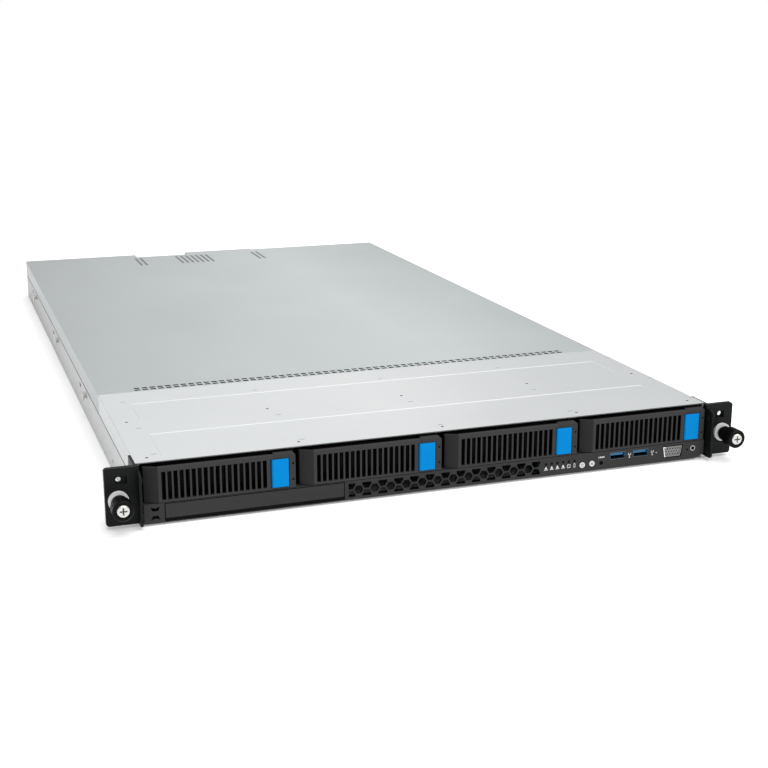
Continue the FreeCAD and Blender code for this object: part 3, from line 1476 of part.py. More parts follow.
def power_supply(label, side):
    """Slide-in power supply: case with inlet, vents, latch pocket, handle lugs and edge tongue."""
    body = new_body(label, f"{side} * psu_x", psu_rear(side), "psu_z")
    pad(body, "XZ", "-psu_length", "0", rectangle("-psu_half", "0", "psu_half", "psu_height"))
    tongue = "edge_z - psu_z"
    pad(body, "XZ", "-psu_length - edge_length", "-psu_length", rectangle(
        "-edge_width / 2", tongue, "edge_width / 2", f"{tongue} + board_thickness"))
    pocket(body, "XZ", "-inlet_depth", "inlet_depth", rectangle(
        "inlet_left", "inlet_low", "inlet_left + inlet_width", "inlet_low + inlet_height"))
    middle_x, middle_z = "inlet_left + inlet_width / 2", "inlet_low + inlet_height / 2"
    pins = [(f"{middle_x} - inlet_pin_spread", f"{middle_z} - inlet_pin_drop"),
            (middle_x, f"{middle_z} + inlet_pin_drop"),
            (f"{middle_x} + inlet_pin_spread", f"{middle_z} - inlet_pin_drop")]
    pad(body, "XZ", "-inlet_depth", "inlet_pin_length - inlet_depth", *[rectangle(
        f"{x} - inlet_pin_width / 2", f"{z} - inlet_pin_height / 2",
        f"{x} + inlet_pin_width / 2", f"{z} + inlet_pin_height / 2") for x, z in pins])
    vent = pocket(body, "XZ", "-psu_vent_depth", "psu_vent_depth", rectangle(
        "psu_vent_left", "psu_vent_low", "psu_vent_left + psu_vent_width", "psu_vent_high"))
    repeat(body, vent, "X", "psu_vent_count", "psu_vent_pitch")
    pocket(body, "XZ", "-psu_latch_depth - psu_latch_gap", "psu_latch_depth", rectangle(
        "psu_latch_pocket_left", "psu_latch_low - psu_latch_gap",
        "psu_half + psu_latch_gap", "psu_latch_low + psu_latch_height + psu_latch_gap"))
    lugs = [rectangle(f"{left}", "psu_handle_axis_z - psu_lug_half", f"{left} + psu_lug_width",
                      "psu_handle_axis_z + psu_lug_half")
            for left in ("(psu_handle_left - psu_lug_gap - psu_lug_width)",
                         "(psu_handle_left + psu_handle_width + psu_lug_gap)")]
    pad(body, "XZ", "0", "psu_lug_reach", *lugs)
    pocket(body, "YZ", "psu_handle_left - psu_lug_width - psu_lug_gap - tray_sheet",
           "psu_handle_left + psu_handle_width + psu_lug_width + psu_lug_gap + tray_sheet",
           disc("psu_handle_axis_y", "psu_handle_axis_z", "psu_pin_radius + running_gap"))
    return keep(body, label)


def psu_latch(label, side):
    """Sprung release tab in the pocket beside the handle."""
    body = new_body(label, f"{side} * psu_x", psu_rear(side), "psu_z")
    pad(body, "XZ", "-psu_latch_depth", "psu_latch_reach", rectangle(
        "psu_latch_left", "psu_latch_low", "psu_latch_left + psu_latch_thickness",
        "psu_latch_low + psu_latch_height"))
    return keep(body, label)


def psu_handle(label, side):
    """Bail handle folded against the rear face, hinged on its own end pins."""
    body = new_body(label, f"{side} * psu_x", psu_rear(side), "psu_z")
    left, right = "psu_handle_left", "(psu_handle_left + psu_handle_width)"
    low, high = "psu_handle_axis_z - psu_handle_heel", "(psu_handle_axis_z + psu_handle_height)"
    front, rear = "psu_handle_axis_y - psu_handle_bar / 2", "psu_handle_axis_y + psu_handle_bar / 2"
    pad(body, "XZ", front, rear, outline(
        (left, low), (left, high), (right, high), (right, low), (f"{right} - psu_handle_bar", low),
        (f"{right} - psu_handle_bar", f"{high} - psu_handle_bar"),
        (f"{left} + psu_handle_bar", f"{high} - psu_handle_bar"), (f"{left} + psu_handle_bar", low)))
    pin = disc("psu_handle_axis_y", "psu_handle_axis_z", "psu_pin_radius")
    reach = "psu_lug_gap + psu_lug_width"
    pad(body, "YZ", f"{left} - {reach}", f"{left} + psu_handle_bar", pin)
    pad(body, "YZ", f"{right} - psu_handle_bar", f"{right} + {reach}", pin)
    return keep(body, label)


# Rear ports, blanks and fasteners -----------------------------------------------------------------

def rear_io_ports():
    """Hollow port shells that stand on the board's rear edge and open to the rear."""
    shells = []
    rear = "rear_y + rear_port_proud"
    for left, width, height in rear_ports():
        shell = block((left, f"{rear} - jack_depth", "board_top"),
                      (f"{left} + {width}", rear, f"board_top + {height}"))
        hollow = block((f"{left} + jack_skin", f"{rear} - jack_depth + jack_skin", "board_top + jack_skin"),
                       (f"{left} + {width} - jack_skin", f"{rear} + jack_skin",
                        f"board_top + {height} - jack_skin"))
        shells.append(subtract(shell, [hollow]))
    return group("rear_io_ports", shells)


def slot_blank(left, width, low, height, rear):
    """One perforated plate in a window of the rear wall."""
    body = new_body("slot_blank")
    pad(body, "XZ", f"{rear} - tray_sheet", rear,
        rectangle(left, low, f"{left} + {width}", f"{low} + {height}"))
    vent = pocket(body, "XZ", f"{rear} - 2 * tray_sheet", f"{rear} + tray_sheet", rectangle(
        f"{left} + blank_vent_margin", f"{low} + blank_vent_margin",
        f"{left} + blank_vent_margin + blank_vent_width", f"{low} + {height} - blank_vent_margin"))
    count = f"floor(({width} - 2 * blank_vent_margin) / blank_vent_pitch)"
    repeat(body, vent, "X", count, "blank_vent_pitch")
    return body


def slot_blanks():
    """Plates that close the empty card slots."""
    right_rear = "(rear_y - setback)"
    return group("slot_blanks", [
        slot_blank("bracket_left", "bracket_width", "bracket_low", "bracket_height", right_rear),
        slot_blank("bracket_left", "bracket_width", "ocp_low", "ocp_height", right_rear),
        slot_blank("left_bracket_left", "left_bracket_width", "bracket_low", "bracket_height", "rear_y")])


def across(low, y, z, radius, high):
    """A round bar along X from level low to level high."""
    bar = doc.addObject("Part::Cylinder", "bar")
    bar.Placement = FreeCAD.Placement(FreeCAD.Vector(), FreeCAD.Rotation(FreeCAD.Vector(0, 1, 0), 90))
    put(bar, low, y, z)
    bind(bar, Radius=radius, Height=f"({high}) - ({low})")
    return bar


def rail_studs():
    """Headed studs on both side walls for the sliding rails."""
    studs = []
    for side in (-1, 1):
        for y in ("stud_front_y", "stud_middle_y", "stud_rear_y"):
            neck = ordered(side, "half_body", "(half_body + stud_neck)")
            head = ordered(side, "(half_body + stud_neck)", "(half_body + stud_neck + stud_head)")
            studs.append(fuse([across(neck[0], y, "stud_z", "stud_neck_radius", neck[1]),
                               across(head[0], y, "stud_z", "stud_head_radius", head[1])]))
    return group("rail_studs", studs)


def case_screws():
    """Pan-head screws that hold the ears' side plates, and the eyelet in the fascia."""
    screws = []
    for side in (-1, 1):
        for z in ("ear_screw_low", "ear_screw_high"):
            shank = ordered(side, "(half_body - case_screw_length)", "ear_side_out")
            head = ordered(side, "ear_side_out", "(ear_side_out + case_screw_head)")
            screws.append(fuse([across(shank[0], "ear_screw_y", z, "case_screw_radius", shank[1]),
                                across(head[0], "ear_screw_y", z, "case_screw_head_radius", head[1])]))
    eyelet = subtract(rod("eyelet_x", "face_y", "eyelet_z", "eyelet_radius", "face_y + eyelet_length"),
                      [rod("eyelet_x", "face_y - tray_sheet", "eyelet_z", "eyelet_bore",
                           "face_y + eyelet_length + tray_sheet")])
    return group("case_screws", screws + [eyelet])


# Assembly -----------------------------------------------------------------------------------------

def build():
    chassis_tray()
    rear_panel()
    front_cover()
    rear_cover()
    for name, side in (("left", -1), ("right", 1)):
        ear(f"ear_{name}", side)
        knob(f"knob_{name}", side)
        captive_screw(f"screw_{name}", side)
        retaining_ring(f"retaining_ring_{name}", side)
    group("ferrules", [ferrule(-1), ferrule(1)])
    front_fascia()
    slim_bay_blank()
    front_usb_ports()
    front_vga_port()
    push_button("power_button", "power_x", "power_z", "button_radius", "face_y - button_proud")
    push_button("id_button", "ident_x", "ident_z", "button_radius", "face_y - button_proud")
    push_button("reset_button", "reset_x", "reset_z", "reset_radius", "face_y + reset_recess")
    drive_cage()
    for bay in BAYS:
        drive_carrier(bay)
        carrier_lever(bay)
        carrier_latch(bay)
        disk_drive(bay)
    group("front_boards", [front_io_board(), backplane()])
    fans = range(1, SIZES["fan_count"] + 1)
    group("fan_frames", [fan_frame(fan) for fan in fans])
    for fan in fans:
        fan_rotor(fan)
    motherboard()
    board_components()
    memory_modules()
    group("heat_sinks", [heat_sink(-1), heat_sink(1)])
    air_duct()
    for place, side in ((1, -1), (2, 1)):
        power_supply(f"psu_{place}", side)
        psu_latch(f"psu_latch_{place}", side)
        psu_handle(f"psu_handle_{place}", side)
    rear_io_ports()
    slot_blanks()
    rail_studs()
    case_screws()
    doc.recompute()


def check_document():
    """Stop if any object failed or any sub-part's shape isn't a sound solid."""
    failed = [item.Name for item in doc.Objects if {"Invalid", "Error"} & set(item.State)]
    if failed:
        raise RuntimeError(f"failed objects: {failed}")
    for part in SUBPARTS:
        if part.Shape.isNull() or not part.Shape.isValid() or not part.Shape.Solids:
            raise RuntimeError(f"unsound shape: {part.Label}")


def write_parts():
    os.makedirs("parts", exist_ok=True)
    for part in SUBPARTS:
        part.Shape.exportStep(f"parts/{part.Label}.step")
        print(f"{part.Label}: {len(part.Shape.Solids)} solids, {part.Shape.Volume:.0f} mm3")


build()
check_document()
write_parts()
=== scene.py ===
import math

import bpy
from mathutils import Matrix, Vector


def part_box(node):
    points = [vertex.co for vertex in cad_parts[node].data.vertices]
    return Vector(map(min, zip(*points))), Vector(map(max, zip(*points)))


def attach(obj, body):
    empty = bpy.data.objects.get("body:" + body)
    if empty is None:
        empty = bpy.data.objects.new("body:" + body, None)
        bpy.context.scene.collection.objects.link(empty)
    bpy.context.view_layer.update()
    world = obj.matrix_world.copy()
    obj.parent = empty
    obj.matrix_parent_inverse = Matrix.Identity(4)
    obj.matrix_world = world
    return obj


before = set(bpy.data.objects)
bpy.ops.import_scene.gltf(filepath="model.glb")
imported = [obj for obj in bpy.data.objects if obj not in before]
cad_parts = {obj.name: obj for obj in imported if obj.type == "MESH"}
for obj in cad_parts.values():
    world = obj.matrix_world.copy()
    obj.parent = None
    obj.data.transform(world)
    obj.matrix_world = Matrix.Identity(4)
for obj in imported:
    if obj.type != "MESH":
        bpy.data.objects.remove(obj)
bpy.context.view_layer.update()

# %% [markdown]
# # A 1U rack server, dressed
# The frame holds every solid of the server at its real size, in metres, with X to the right,
# Y to the rear and Z up. This lesson gives those solids their finishes, adds the small pieces
# that are too fine for the construction model, and sets up a plain studio.
# Measures are easier to read in millimetres, so MM turns them into metres.

MM = 0.001

# %% [markdown]
# ## Sums on sockets
# A node material is a set of formulas. Written as nodes and links, even a short formula takes
# many lines. So a small class wraps a socket, and ordinary signs such as + and * add the Math
# nodes. The reflected forms let a number stand on the left, as in `1 - mask`.

# %% A value that takes part in sums
class Value:
    """A socket of a finish, usable in sums."""

    def __init__(self, finish, socket):
        self.finish = finish
        self.socket = socket

    def maths(self, operation, *others):
        return self.finish.node("ShaderNodeMath", {"operation": operation}, self, *others)

    def __add__(self, other):
        return self.maths("ADD", other)

    def __radd__(self, other):
        return self + other

    def __mul__(self, other):
        return self.maths("MULTIPLY", other)

    def __rmul__(self, other):
        return self * other

    def __sub__(self, other):
        return self.maths("SUBTRACT", other)

    def __rsub__(self, other):
        return self * -1 + other

    def __truediv__(self, other):
        return self.maths("DIVIDE", other)

    def __gt__(self, other):
        return self.maths("GREATER_THAN", other)

    def __lt__(self, other):
        return self.maths("LESS_THAN", other)

    def __abs__(self):
        return self.maths("ABSOLUTE")

    def near(self, centre, reach):
        """1 within reach of centre, else 0."""
        return abs(self - centre) < reach

    def near_any(self, centres, reach):
        """1 within reach of one of several centres that stand apart, else 0."""
        return sum(self.near(centre, reach) for centre in centres)

    def between(self, low, high):
        """1 from low to high, else 0."""
        return self.near((low + high) / 2, (high - low) / 2)

    def either(self, other):
        """The larger of two values, so 1 where either mask is 1."""
        return self.maths("MAXIMUM", other)


print("values can be added, multiplied and compared")

# %% [markdown]
# ## One finish per real surface
# Each finish is one material. It starts from the Principled shader with its plain numbers set
# straight on the sockets. Whatever varies over the surface is linked in afterwards: colour,
# roughness and the bumps. Every pattern reads the object's own coordinates in metres, so it
# keeps its scale and stays put when a piece moves.

# %% Finish
def grey(level):
    """A neutral colour."""
    return (level, level, level)


class Finish:
    """A node material for one real surface."""

    def __init__(self, name, colour, roughness, metallic=0.0, **plain):
        self.material = bpy.data.materials.new(name)
        self.material.use_nodes = True
        self.nodes = self.material.node_tree.nodes
        self.links = self.material.node_tree.links
        self.shader = self.nodes["Principled BSDF"]
        self.colour = (*colour, 1.0)
        self.material.diffuse_color = self.colour
        self.put("Base Color", self.colour)
        self.put("Roughness", roughness)
        self.put("Metallic", metallic)
        for socket, number in plain.items():
            self.put(socket.replace("_", " "), number)
        coordinates = self.nodes.new("ShaderNodeTexCoord")
        self.here = Value(self, coordinates.outputs["Object"])
        self.x, self.y, self.z = self.split(self.here)

    def put(self, socket, value):
        """Sets or links one socket of the shader."""
        self.join(self.shader.inputs[socket], value)

    def join(self, socket, value):
        """Links a value to any socket, or sets a plain number or colour there."""
        if isinstance(value, Value):
            self.links.new(value.socket, socket)
        else:
            socket.default_value = value

    def node(self, kind, settings, *values, **named):
        """Any node: its settings first, then values or links of its sockets."""
        node = self.nodes.new(kind)
        for setting, choice in settings.items():
            setattr(node, setting, choice)
        for socket, value in zip(node.inputs, values):
            self.join(socket, value)
        for socket, value in named.items():
            self.join(node.inputs[socket.replace("_", " ")], value)
        return Value(self, node.outputs[0])

    def split(self, vector):
        """The three parts of a vector."""
        node = self.nodes.new("ShaderNodeSeparateXYZ")
        self.links.new(vector.socket, node.inputs[0])
        return [Value(self, socket) for socket in node.outputs]

    def stretched(self, x, y, z):
        """The coordinates scaled apart, for grain that runs one way."""
        return self.node("ShaderNodeVectorMath", {"operation": "MULTIPLY"}, self.here, (x, y, z))

    def noise(self, size, detail=2.0, stretch=(1, 1, 1)):
        """Noise around 0, from about -0.5 to 0.5, with marks of that size in metres."""
        grain = self.node("ShaderNodeTexNoise", {}, Vector=self.stretched(*stretch),
                          Scale=1 / size, Detail=detail)
        return grain - 0.5

    def mix(self, factor, one, other):
        """Colour from one to the other."""
        node = self.nodes.new("ShaderNodeMix")
        node.data_type = "RGBA"
        self.join(node.inputs["Factor"], factor)
        for socket, colour in ((node.inputs[6], one), (node.inputs[7], other)):
            self.join(socket, colour if isinstance(colour, Value) else (*colour[:3], 1.0))
        return Value(self, node.outputs[2])

    def shade(self, amount):
        """The plain colour, lighter and darker by the amount."""
        half_darker = tuple(part * 0.5 for part in self.colour[:3])
        half_lighter = tuple(min(1.0, part * 1.5) for part in self.colour[:3])
        return self.mix(amount + 0.5, half_darker, half_lighter)

    def relief(self, height, depth, edge=0.0):
        """Bumps of a depth in metres, over edges rounded by another shader node."""
        node = self.nodes.new("ShaderNodeBump")
        node.inputs["Distance"].default_value = depth
        node.inputs["Strength"].default_value = 1.0
        self.join(node.inputs["Height"], height)
        if edge:
            rounded = self.node("ShaderNodeBevel", {"samples": 4}, edge)
            self.links.new(rounded.socket, node.inputs["Normal"])
        self.put("Normal", Value(self, node.outputs[0]))


print("finishes are ready to be mixed")

# %% [markdown]
# ## Zinc-plated sheet
# The tray and both lids are rolled sheet steel with a thin zinc coat. It has a satin gloss, very
# fine rolling lines along its length, and faint cloudy patches. The front lid is the brightest
# and the rear lid a shade darker and greener. A metal shader alone would show only what it
# mirrors, so it is mixed part metal, part diffuse, which is how a thin oxide film looks.

# %% Zinc plating
# The dark colour painted on the walls of holes, grooves and edges, as their shade.
HOLE_SHADE = (0.025, 0.027, 0.028)


def zinc(name, colour, roughness, metallic, along="Y", painted_light=None, marks=None, holes=None):
    """Zinc with lines along one axis; painted light, marks and holes are formulas of the place.
    """
    finish = Finish(name, colour, roughness, metallic)
    lines = finish.noise(1.2 * MM, 3.0, (0.03, 1, 1) if along == "X" else (1, 0.03, 1))
    cloud = finish.noise(90 * MM, 3.0)
    tone = 0.07 * lines + 0.09 * cloud
    height = lines + 0.4 * cloud
    # Painted light makes the tone lighter where a reflection would fall and darker where shade
    # would.
    if painted_light:
        tone = tone + painted_light(finish)
    if marks:
        pressed = marks(finish)
        # Pressed marks are bumped in and also darkened with painted shade.
        tone = tone - 0.6 * pressed
        height = height - 8 * pressed
    plating = finish.shade(tone)
    # Walls of holes are painted dark, as their shade.
    if holes:
        plating = finish.mix(holes(finish), plating, HOLE_SHADE)
    finish.put("Base Color", plating)
    finish.put("Roughness", roughness + 0.08 * lines + 0.1 * cloud)
    finish.relief(height, 0.02 * MM, 0.4 * MM)
    return finish.material


print("zinc can be mixed")

# %% [markdown]
# ## Where the zinc differs
# Three kinds of formula say where the sheet isn't plain. Painted light makes places lighter where
# a reflection would fall and darker where shade would, marks are pressed in and darkened with
# painted shade, and the walls of holes are painted dark as their shade. They are worked out from
# the boxes of the frame's solids and from where a place lies along, across and above them.

# %% Painted light
FRONT_LID_LOW, FRONT_LID_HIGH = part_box("front_cover")
REAR_LID_LOW, REAR_LID_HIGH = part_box("rear_cover")
FLANGE_X = FRONT_LID_HIGH.x - 0.2 * MM
# How much darker the flanges are painted, as shade on faces that turn to the side.
FLANGE_PAINTED_SHADE_FRONT, FLANGE_PAINTED_SHADE_REAR = 0.19, 0.15


def rear_painted_light(finish):
    """Painted reflection, brighter down the middle and darker to the rear, and flanges painted in
    shade.
    """
    middle = 0.19 - 0.30 * abs(finish.x - 0.08) / 0.28 - 0.14 * (finish.y - 0.2)
    return middle - FLANGE_PAINTED_SHADE_REAR * (abs(finish.x) > FLANGE_X)


def front_painted_light(finish):
    """Painted reflection, a slightly brighter middle, and flanges painted in shade."""
    middle = 0.07 - 0.10 * abs(finish.x + 0.02) / 0.2
    return middle - FLANGE_PAINTED_SHADE_FRONT * (abs(finish.x) > FLANGE_X)


def wall_painted_shade(finish):
    """Painted shade: side walls that grow darker towards the rear."""
    return 0.1 - 0.5 * finish.y


print("sheen of both lids and the walls")

# %% Pressed marks
BAY_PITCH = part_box("carrier_2")[0].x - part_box("carrier_1")[0].x
WELD_PITCH = 0.97 * BAY_PITCH
WELD_ROWS_Y = (17 * MM, 80 * MM, 152 * MM)


def front_marks(finish):
    """Spot welds and half-shears pressed in three rows over the walls of the drive bays, darkened
    with painted shade.
    """
    columns = [bay_wall * WELD_PITCH + 6.4 * MM for bay_wall in range(-2, 3)]
    return finish.x.near_any(columns, 1.9 * MM) * finish.y.near_any(WELD_ROWS_Y, 0.6 * MM)


def wall_marks(finish):
    """Notches in the side walls, a low one behind the ears and two high ones near the studs,
    painted dark as their shade.
    """
    low_notch = finish.y.near(113 * MM, 3.5 * MM) * finish.z.near(9 * MM, 1.2 * MM)
    high_notches = finish.y.near_any((298 * MM, 705 * MM), 4 * MM)
    return low_notch + high_notches * finish.z.near(34 * MM, 1 * MM)


print("pressed marks in", len(WELD_ROWS_Y), "rows", round(WELD_PITCH / MM, 1), "mm apart")

# %% Walls of holes
CAGE_MOUTH_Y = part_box("drive_cage")[0].y + 52 * MM
PIN_ROWS_Y = (11 * MM, 98 * MM)
SHEET_TOP = FRONT_LID_HIGH.z - 0.06 * MM
SHEET_BELOW = FRONT_LID_HIGH.z - 0.76 * MM


def behind_levers(finish):
    """The cage's front end, painted dark as shade so that it can't shine through the slots."""
    return finish.y < CAGE_MOUTH_Y


def within_sheet(finish):
    """Between the two faces of a lid's sheet, so only on the walls of its holes."""
    return finish.z.between(SHEET_BELOW, SHEET_TOP)


def front_holes(finish):
    """Walls of the pin holes, which stand in two rows, and the lid's front edge, all painted dark
    as shade.
    """
    edge = finish.y < FRONT_LID_LOW.y + 0.2 * MM
    return within_sheet(finish) * finish.y.near_any(PIN_ROWS_Y, 1.6 * MM) + 0.8 * edge


def rear_holes(finish):
    """Walls of the small slots along the seam, and half as dark the grooves at the back, all
    painted as shade.
    """
    seam_rows = finish.y.between(REAR_LID_LOW.y + 1 * MM, REAR_LID_LOW.y + 12.5 * MM)
    grooves = finish.y.between(REAR_LID_HIGH.y - 75.5 * MM, REAR_LID_HIGH.y - 24.5 * MM)
    inside_flanges = abs(finish.x) < 200 * MM
    return within_sheet(finish) * (seam_rows + 0.55 * grooves) * inside_flanges


print("a sheet of", round((SHEET_TOP - SHEET_BELOW) / MM, 2), "mm shows in the holes")

# %% Zinc finishes
front_zinc = zinc("front_zinc", (0.665, 0.735, 0.755), 0.36, 0.35, "X",
                  front_painted_light, front_marks, front_holes)
rear_zinc = zinc("rear_zinc", (0.52, 0.555, 0.56), 0.40, 0.45, "X",
                 rear_painted_light, holes=rear_holes)
wall_zinc = zinc("wall_zinc", (0.46, 0.465, 0.465), 0.42, 0.5,
                 painted_light=wall_painted_shade, marks=wall_marks)
box_zinc = zinc("box_zinc", (0.50, 0.51, 0.51), 0.42, 0.7)
cage_zinc = zinc("cage_zinc", (0.50, 0.51, 0.51), 0.42, 0.7, holes=behind_levers)
stud_zinc = zinc("stud_zinc", (0.60, 0.60, 0.59), 0.42, 0.3)
print("six zinc finishes")

# %% [markdown]
# ## Powder coat and moulded plastic
# The ears are steel under a black powder coat, which has a fine orange-peel surface. The
# levers and fascia are moulded with a spark-eroded grain, a little lighter and duller. Both are
# nearly the same black, so the grain and the rounded edges are what tell them apart.

# %% Powder coat
RUBBED_GREY = grey(0.10)


def powder(name, colour, roughness, gloss, worn):
    """Powder coat; worn is a formula of where it is rubbed thin and grey."""
    finish = Finish(name, colour, roughness, Specular_IOR_Level=gloss)
    peel = finish.noise(0.7 * MM, 2.0)
    cloud = finish.noise(30 * MM, 2.0)
    coat = finish.shade(0.25 * peel + 0.2 * cloud)
    finish.put("Base Color", finish.mix(0.8 * worn(finish), coat, RUBBED_GREY))
    finish.put("Roughness", roughness + 0.12 * peel + 0.1 * cloud)
    finish.relief(peel, 0.06 * MM, 0.5 * MM)
    return finish.material


print("powder coat can be mixed")

# %% Moulded plastic
def moulded(name, colour, roughness, grain=0.4 * MM, edge=0.4 * MM, depth=0.04 * MM, gloss=0.3,
            shut_in=None, shadow=grey(0.002)):
    """Moulded plastic; shut_in is a formula of where the piece takes its shadow colour."""
    finish = Finish(name, colour, roughness, Specular_IOR_Level=gloss)
    spark = finish.noise(grain, 3.0)
    flow = finish.noise(20 * MM, 2.0, (0.3, 1, 1))
    tone = finish.shade(0.3 * spark + 0.15 * flow)
    rough = roughness + 0.15 * spark + 0.08 * flow
    if shut_in:
        hidden = shut_in(finish)
        tone = finish.mix(hidden, tone, shadow)
        rough = rough + 0.6 * hidden
    finish.put("Base Color", tone)
    finish.put("Roughness", rough)
    finish.relief(spark, depth, edge)
    return finish.material


print("moulded plastic can be mixed")

# %% [markdown]
# ## Shade in the openings
# The black pieces lie deep in each other's shade, and light that finds its way into a slot would
# make it grey. So each black finish takes a darker, duller colour where the piece is shut in:
# behind the front faces, on the walls of holes and inside the levers. The faces of the rivets on
# the handles are the other way round, rubbed lighter by hands.

# %% Places on the black pieces
FASCIA_LOW, FASCIA_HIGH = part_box("front_fascia")
FACE_Y = FASCIA_LOW.y
LEVER_LOW, LEVER_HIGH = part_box("lever_1")
BAYS = range(1, 5)
SCOOP_WIDTH = 10.5 * MM


def behind_face(finish):
    """All that lies more than a few millimetres behind the front faces."""
    return finish.y > FACE_Y + 4.5 * MM


def hole_walls(finish):
    """The walls of the fascia's holes, behind its face."""
    upright = finish.z.between(FASCIA_LOW.z + 0.6 * MM, FASCIA_HIGH.z - 0.6 * MM)
    return 0.8 * (finish.y > FACE_Y + 0.5 * MM) * upright


def rivet_heads(finish):
    """The raised heads of the rivets on the inner face of each handle."""
    raised = abs(finish.x).between(FASCIA_HIGH.x - 2 * MM, FASCIA_HIGH.x + 0.2 * MM)
    return raised * (finish.y < FACE_Y - 2 * MM)


def latch_sides(finish):
    """The sides of the front latches, which stand in the shade of the levers."""
    return (finish.y > FACE_Y + 0.3 * MM) * (finish.y < 200 * MM)


def scooped_ends(finish):
    """The scooped left end of each lever in half painted shade, and in full the lever's inside
    and the walls of its slots.
    """
    middles = [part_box(f"lever_{bay}")[0].x - 1 * MM + SCOOP_WIDTH / 2 for bay in BAYS]
    scoops = finish.x.near_any(middles, SCOOP_WIDTH / 2)
    upright = finish.z.between(LEVER_LOW.z + 2.5 * MM, LEVER_HIGH.z - 2.5 * MM)
    slot_walls = (finish.y > FACE_Y + 0.5 * MM) * upright
    inside = (finish.y > FACE_Y + 2.2 * MM) * (1 - scoops)
    return (0.45 * scoops).either(inside).either(slot_walls * (1 - scoops))


print("the front face is at y =", round(FACE_Y / MM, 1), "mm")

# %% Black, blue and white finishes
powder_black = powder("powder_black", (0.0065, 0.0075, 0.0075), 0.45, 0.12, rivet_heads)
grained_black = moulded("grained_black", grey(0.036), 0.5, gloss=0.06, shut_in=hole_walls)
carrier_black = moulded("carrier_black", grey(0.038), 0.5, gloss=0.06, shut_in=behind_face)
lever_black = moulded("lever_black", grey(0.041), 0.5, gloss=0.06, shut_in=scooped_ends)
smooth_black = moulded("smooth_black", (0.004, 0.004, 0.0043), 0.34, 0.8 * MM, gloss=0.08)
latch_blue = moulded("latch_blue", (0.0, 0.215, 0.57), 0.36, 0.8 * MM, 0.8 * MM, 0.01 * MM, 0.04,
                     latch_sides, (0.0, 0.09, 0.26))
button_white = moulded("button_white", (0.80, 0.80, 0.78), 0.3, 0.8 * MM, 0.2 * MM, 0.01 * MM)
print("powder coat and six moulded finishes")

# %% [markdown]
# ## Bright metal
# Case screws are plain and a little grey, port shells are tin plated, retaining rings are spring
# steel, and the heat sinks are bare light alloy. They differ in roughness and warmth, and all of
# them carry fine turning marks.

# %% Bright finishes
def bright(name, colour, roughness):
    """Bare or plated metal with turning marks and a slight tarnish."""
    finish = Finish(name, colour, roughness, 1.0)
    turning = finish.noise(0.5 * MM, 2.0)
    tarnish = finish.noise(8 * MM, 3.0)
    finish.put("Base Color", finish.shade(0.12 * tarnish + 0.05 * turning))
    finish.put("Roughness", roughness + 0.15 * turning + 0.15 * tarnish)
    finish.relief(turning, 0.01 * MM, 0.2 * MM)
    return finish.material


screw_grey = bright("screw_grey", (0.50, 0.49, 0.47), 0.35)
tin = bright("tin", (0.62, 0.63, 0.64), 0.32)
plain_steel = bright("plain_steel", (0.50, 0.50, 0.51), 0.28)
fin_alloy = bright("fin_alloy", (0.78, 0.79, 0.80), 0.30)
print("four bright finishes")

# %% [markdown]
# ## Screws, ferrules and drives
# A screw's cross recess is deep, and its shade is painted in as dark lines. The ferrule's flange
# is painted near white with little metal, as a painted highlight, but its neck is blackened like
# the knob that covers it. A drive is cast and painted black, darker than black paint as the shade
# inside the bays, with a bare pressed lid. All three follow from the place alone: the recess lies
# behind the head's face, the neck before the flange, the casting below the lid.

# %% Plating with dark places
def masked_metal(name, colour, roughness, shine, dark, dull=0.03):
    """Plating, metal by the share shine, that a formula of the place turns into dull black."""
    finish = Finish(name, colour, roughness, shine, Specular_IOR_Level=0.1)
    tarnish = finish.noise(6 * MM, 3.0)
    hidden = dark(finish)
    finish.put("Base Color", finish.mix(hidden, finish.shade(0.1 * tarnish), grey(dull)))
    finish.put("Metallic", shine * (1 - hidden))
    finish.put("Roughness", roughness + 0.2 * hidden + 0.1 * tarnish)
    finish.relief(finish.noise(0.5 * MM), 0.01 * MM, 0.2 * MM)
    return finish.material


print("plating with dark places can be mixed")

# %% Screw, ferrule and drive finishes
CROSS_HALF_LENGTH, CROSS_HALF_WIDTH = 2.4 * MM, 0.45 * MM


def cross_recess(finish):
    """Just behind the face of either screw's head, within the arms of its cross."""
    low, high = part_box("screw_right")
    across = abs(abs(finish.x) - (low.x + high.x) / 2)
    upright = abs(finish.z - (low.z + high.z) / 2)
    upright_arm = (across < CROSS_HALF_WIDTH) * (upright < CROSS_HALF_LENGTH)
    level_arm = (across < CROSS_HALF_LENGTH) * (upright < CROSS_HALF_WIDTH)
    deep = finish.y.between(low.y + 0.1 * MM, low.y + 2 * MM)
    return upright_arm.either(level_arm) * deep


def ferrule_neck(finish):
    """The neck in front of the bright flange."""
    return finish.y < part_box("ferrules")[0].y + 3.5 * MM


def below_lid(finish):
    """All of a drive but the pressed lid on its top."""
    return finish.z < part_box("drive_1")[1].z - 0.62 * MM


# The drives are painted black, and darker than black paint as the shade inside the bays.
drive_shell = masked_metal("drive_shell", (0.45, 0.46, 0.47), 0.35, 0.8, below_lid, dull=0.003)
# The screws' cross recesses are painted dull black, as their shade.
screw_nickel = masked_metal("screw_nickel", (0.62, 0.62, 0.60), 0.3, 0.8, cross_recess)
# The ferrules' near-white colour with little metal is a painted highlight.
ferrule_nickel = masked_metal("ferrule_nickel", (0.97, 0.97, 0.96), 0.25, 0.05, ferrule_neck)
print("screws with dark recesses, ferrules with dark necks and black drives")

# %% [markdown]
# ## Circuit board
# A board is green lacquer over copper. Traces show through it as slightly lighter lines that run
# square to each other, and small bare pads are gold. Bands of a stepped noise give the traces,
# and rounded cells give the pads.

# %% Board finish
BARE_GOLD = (0.75, 0.5, 0.18)


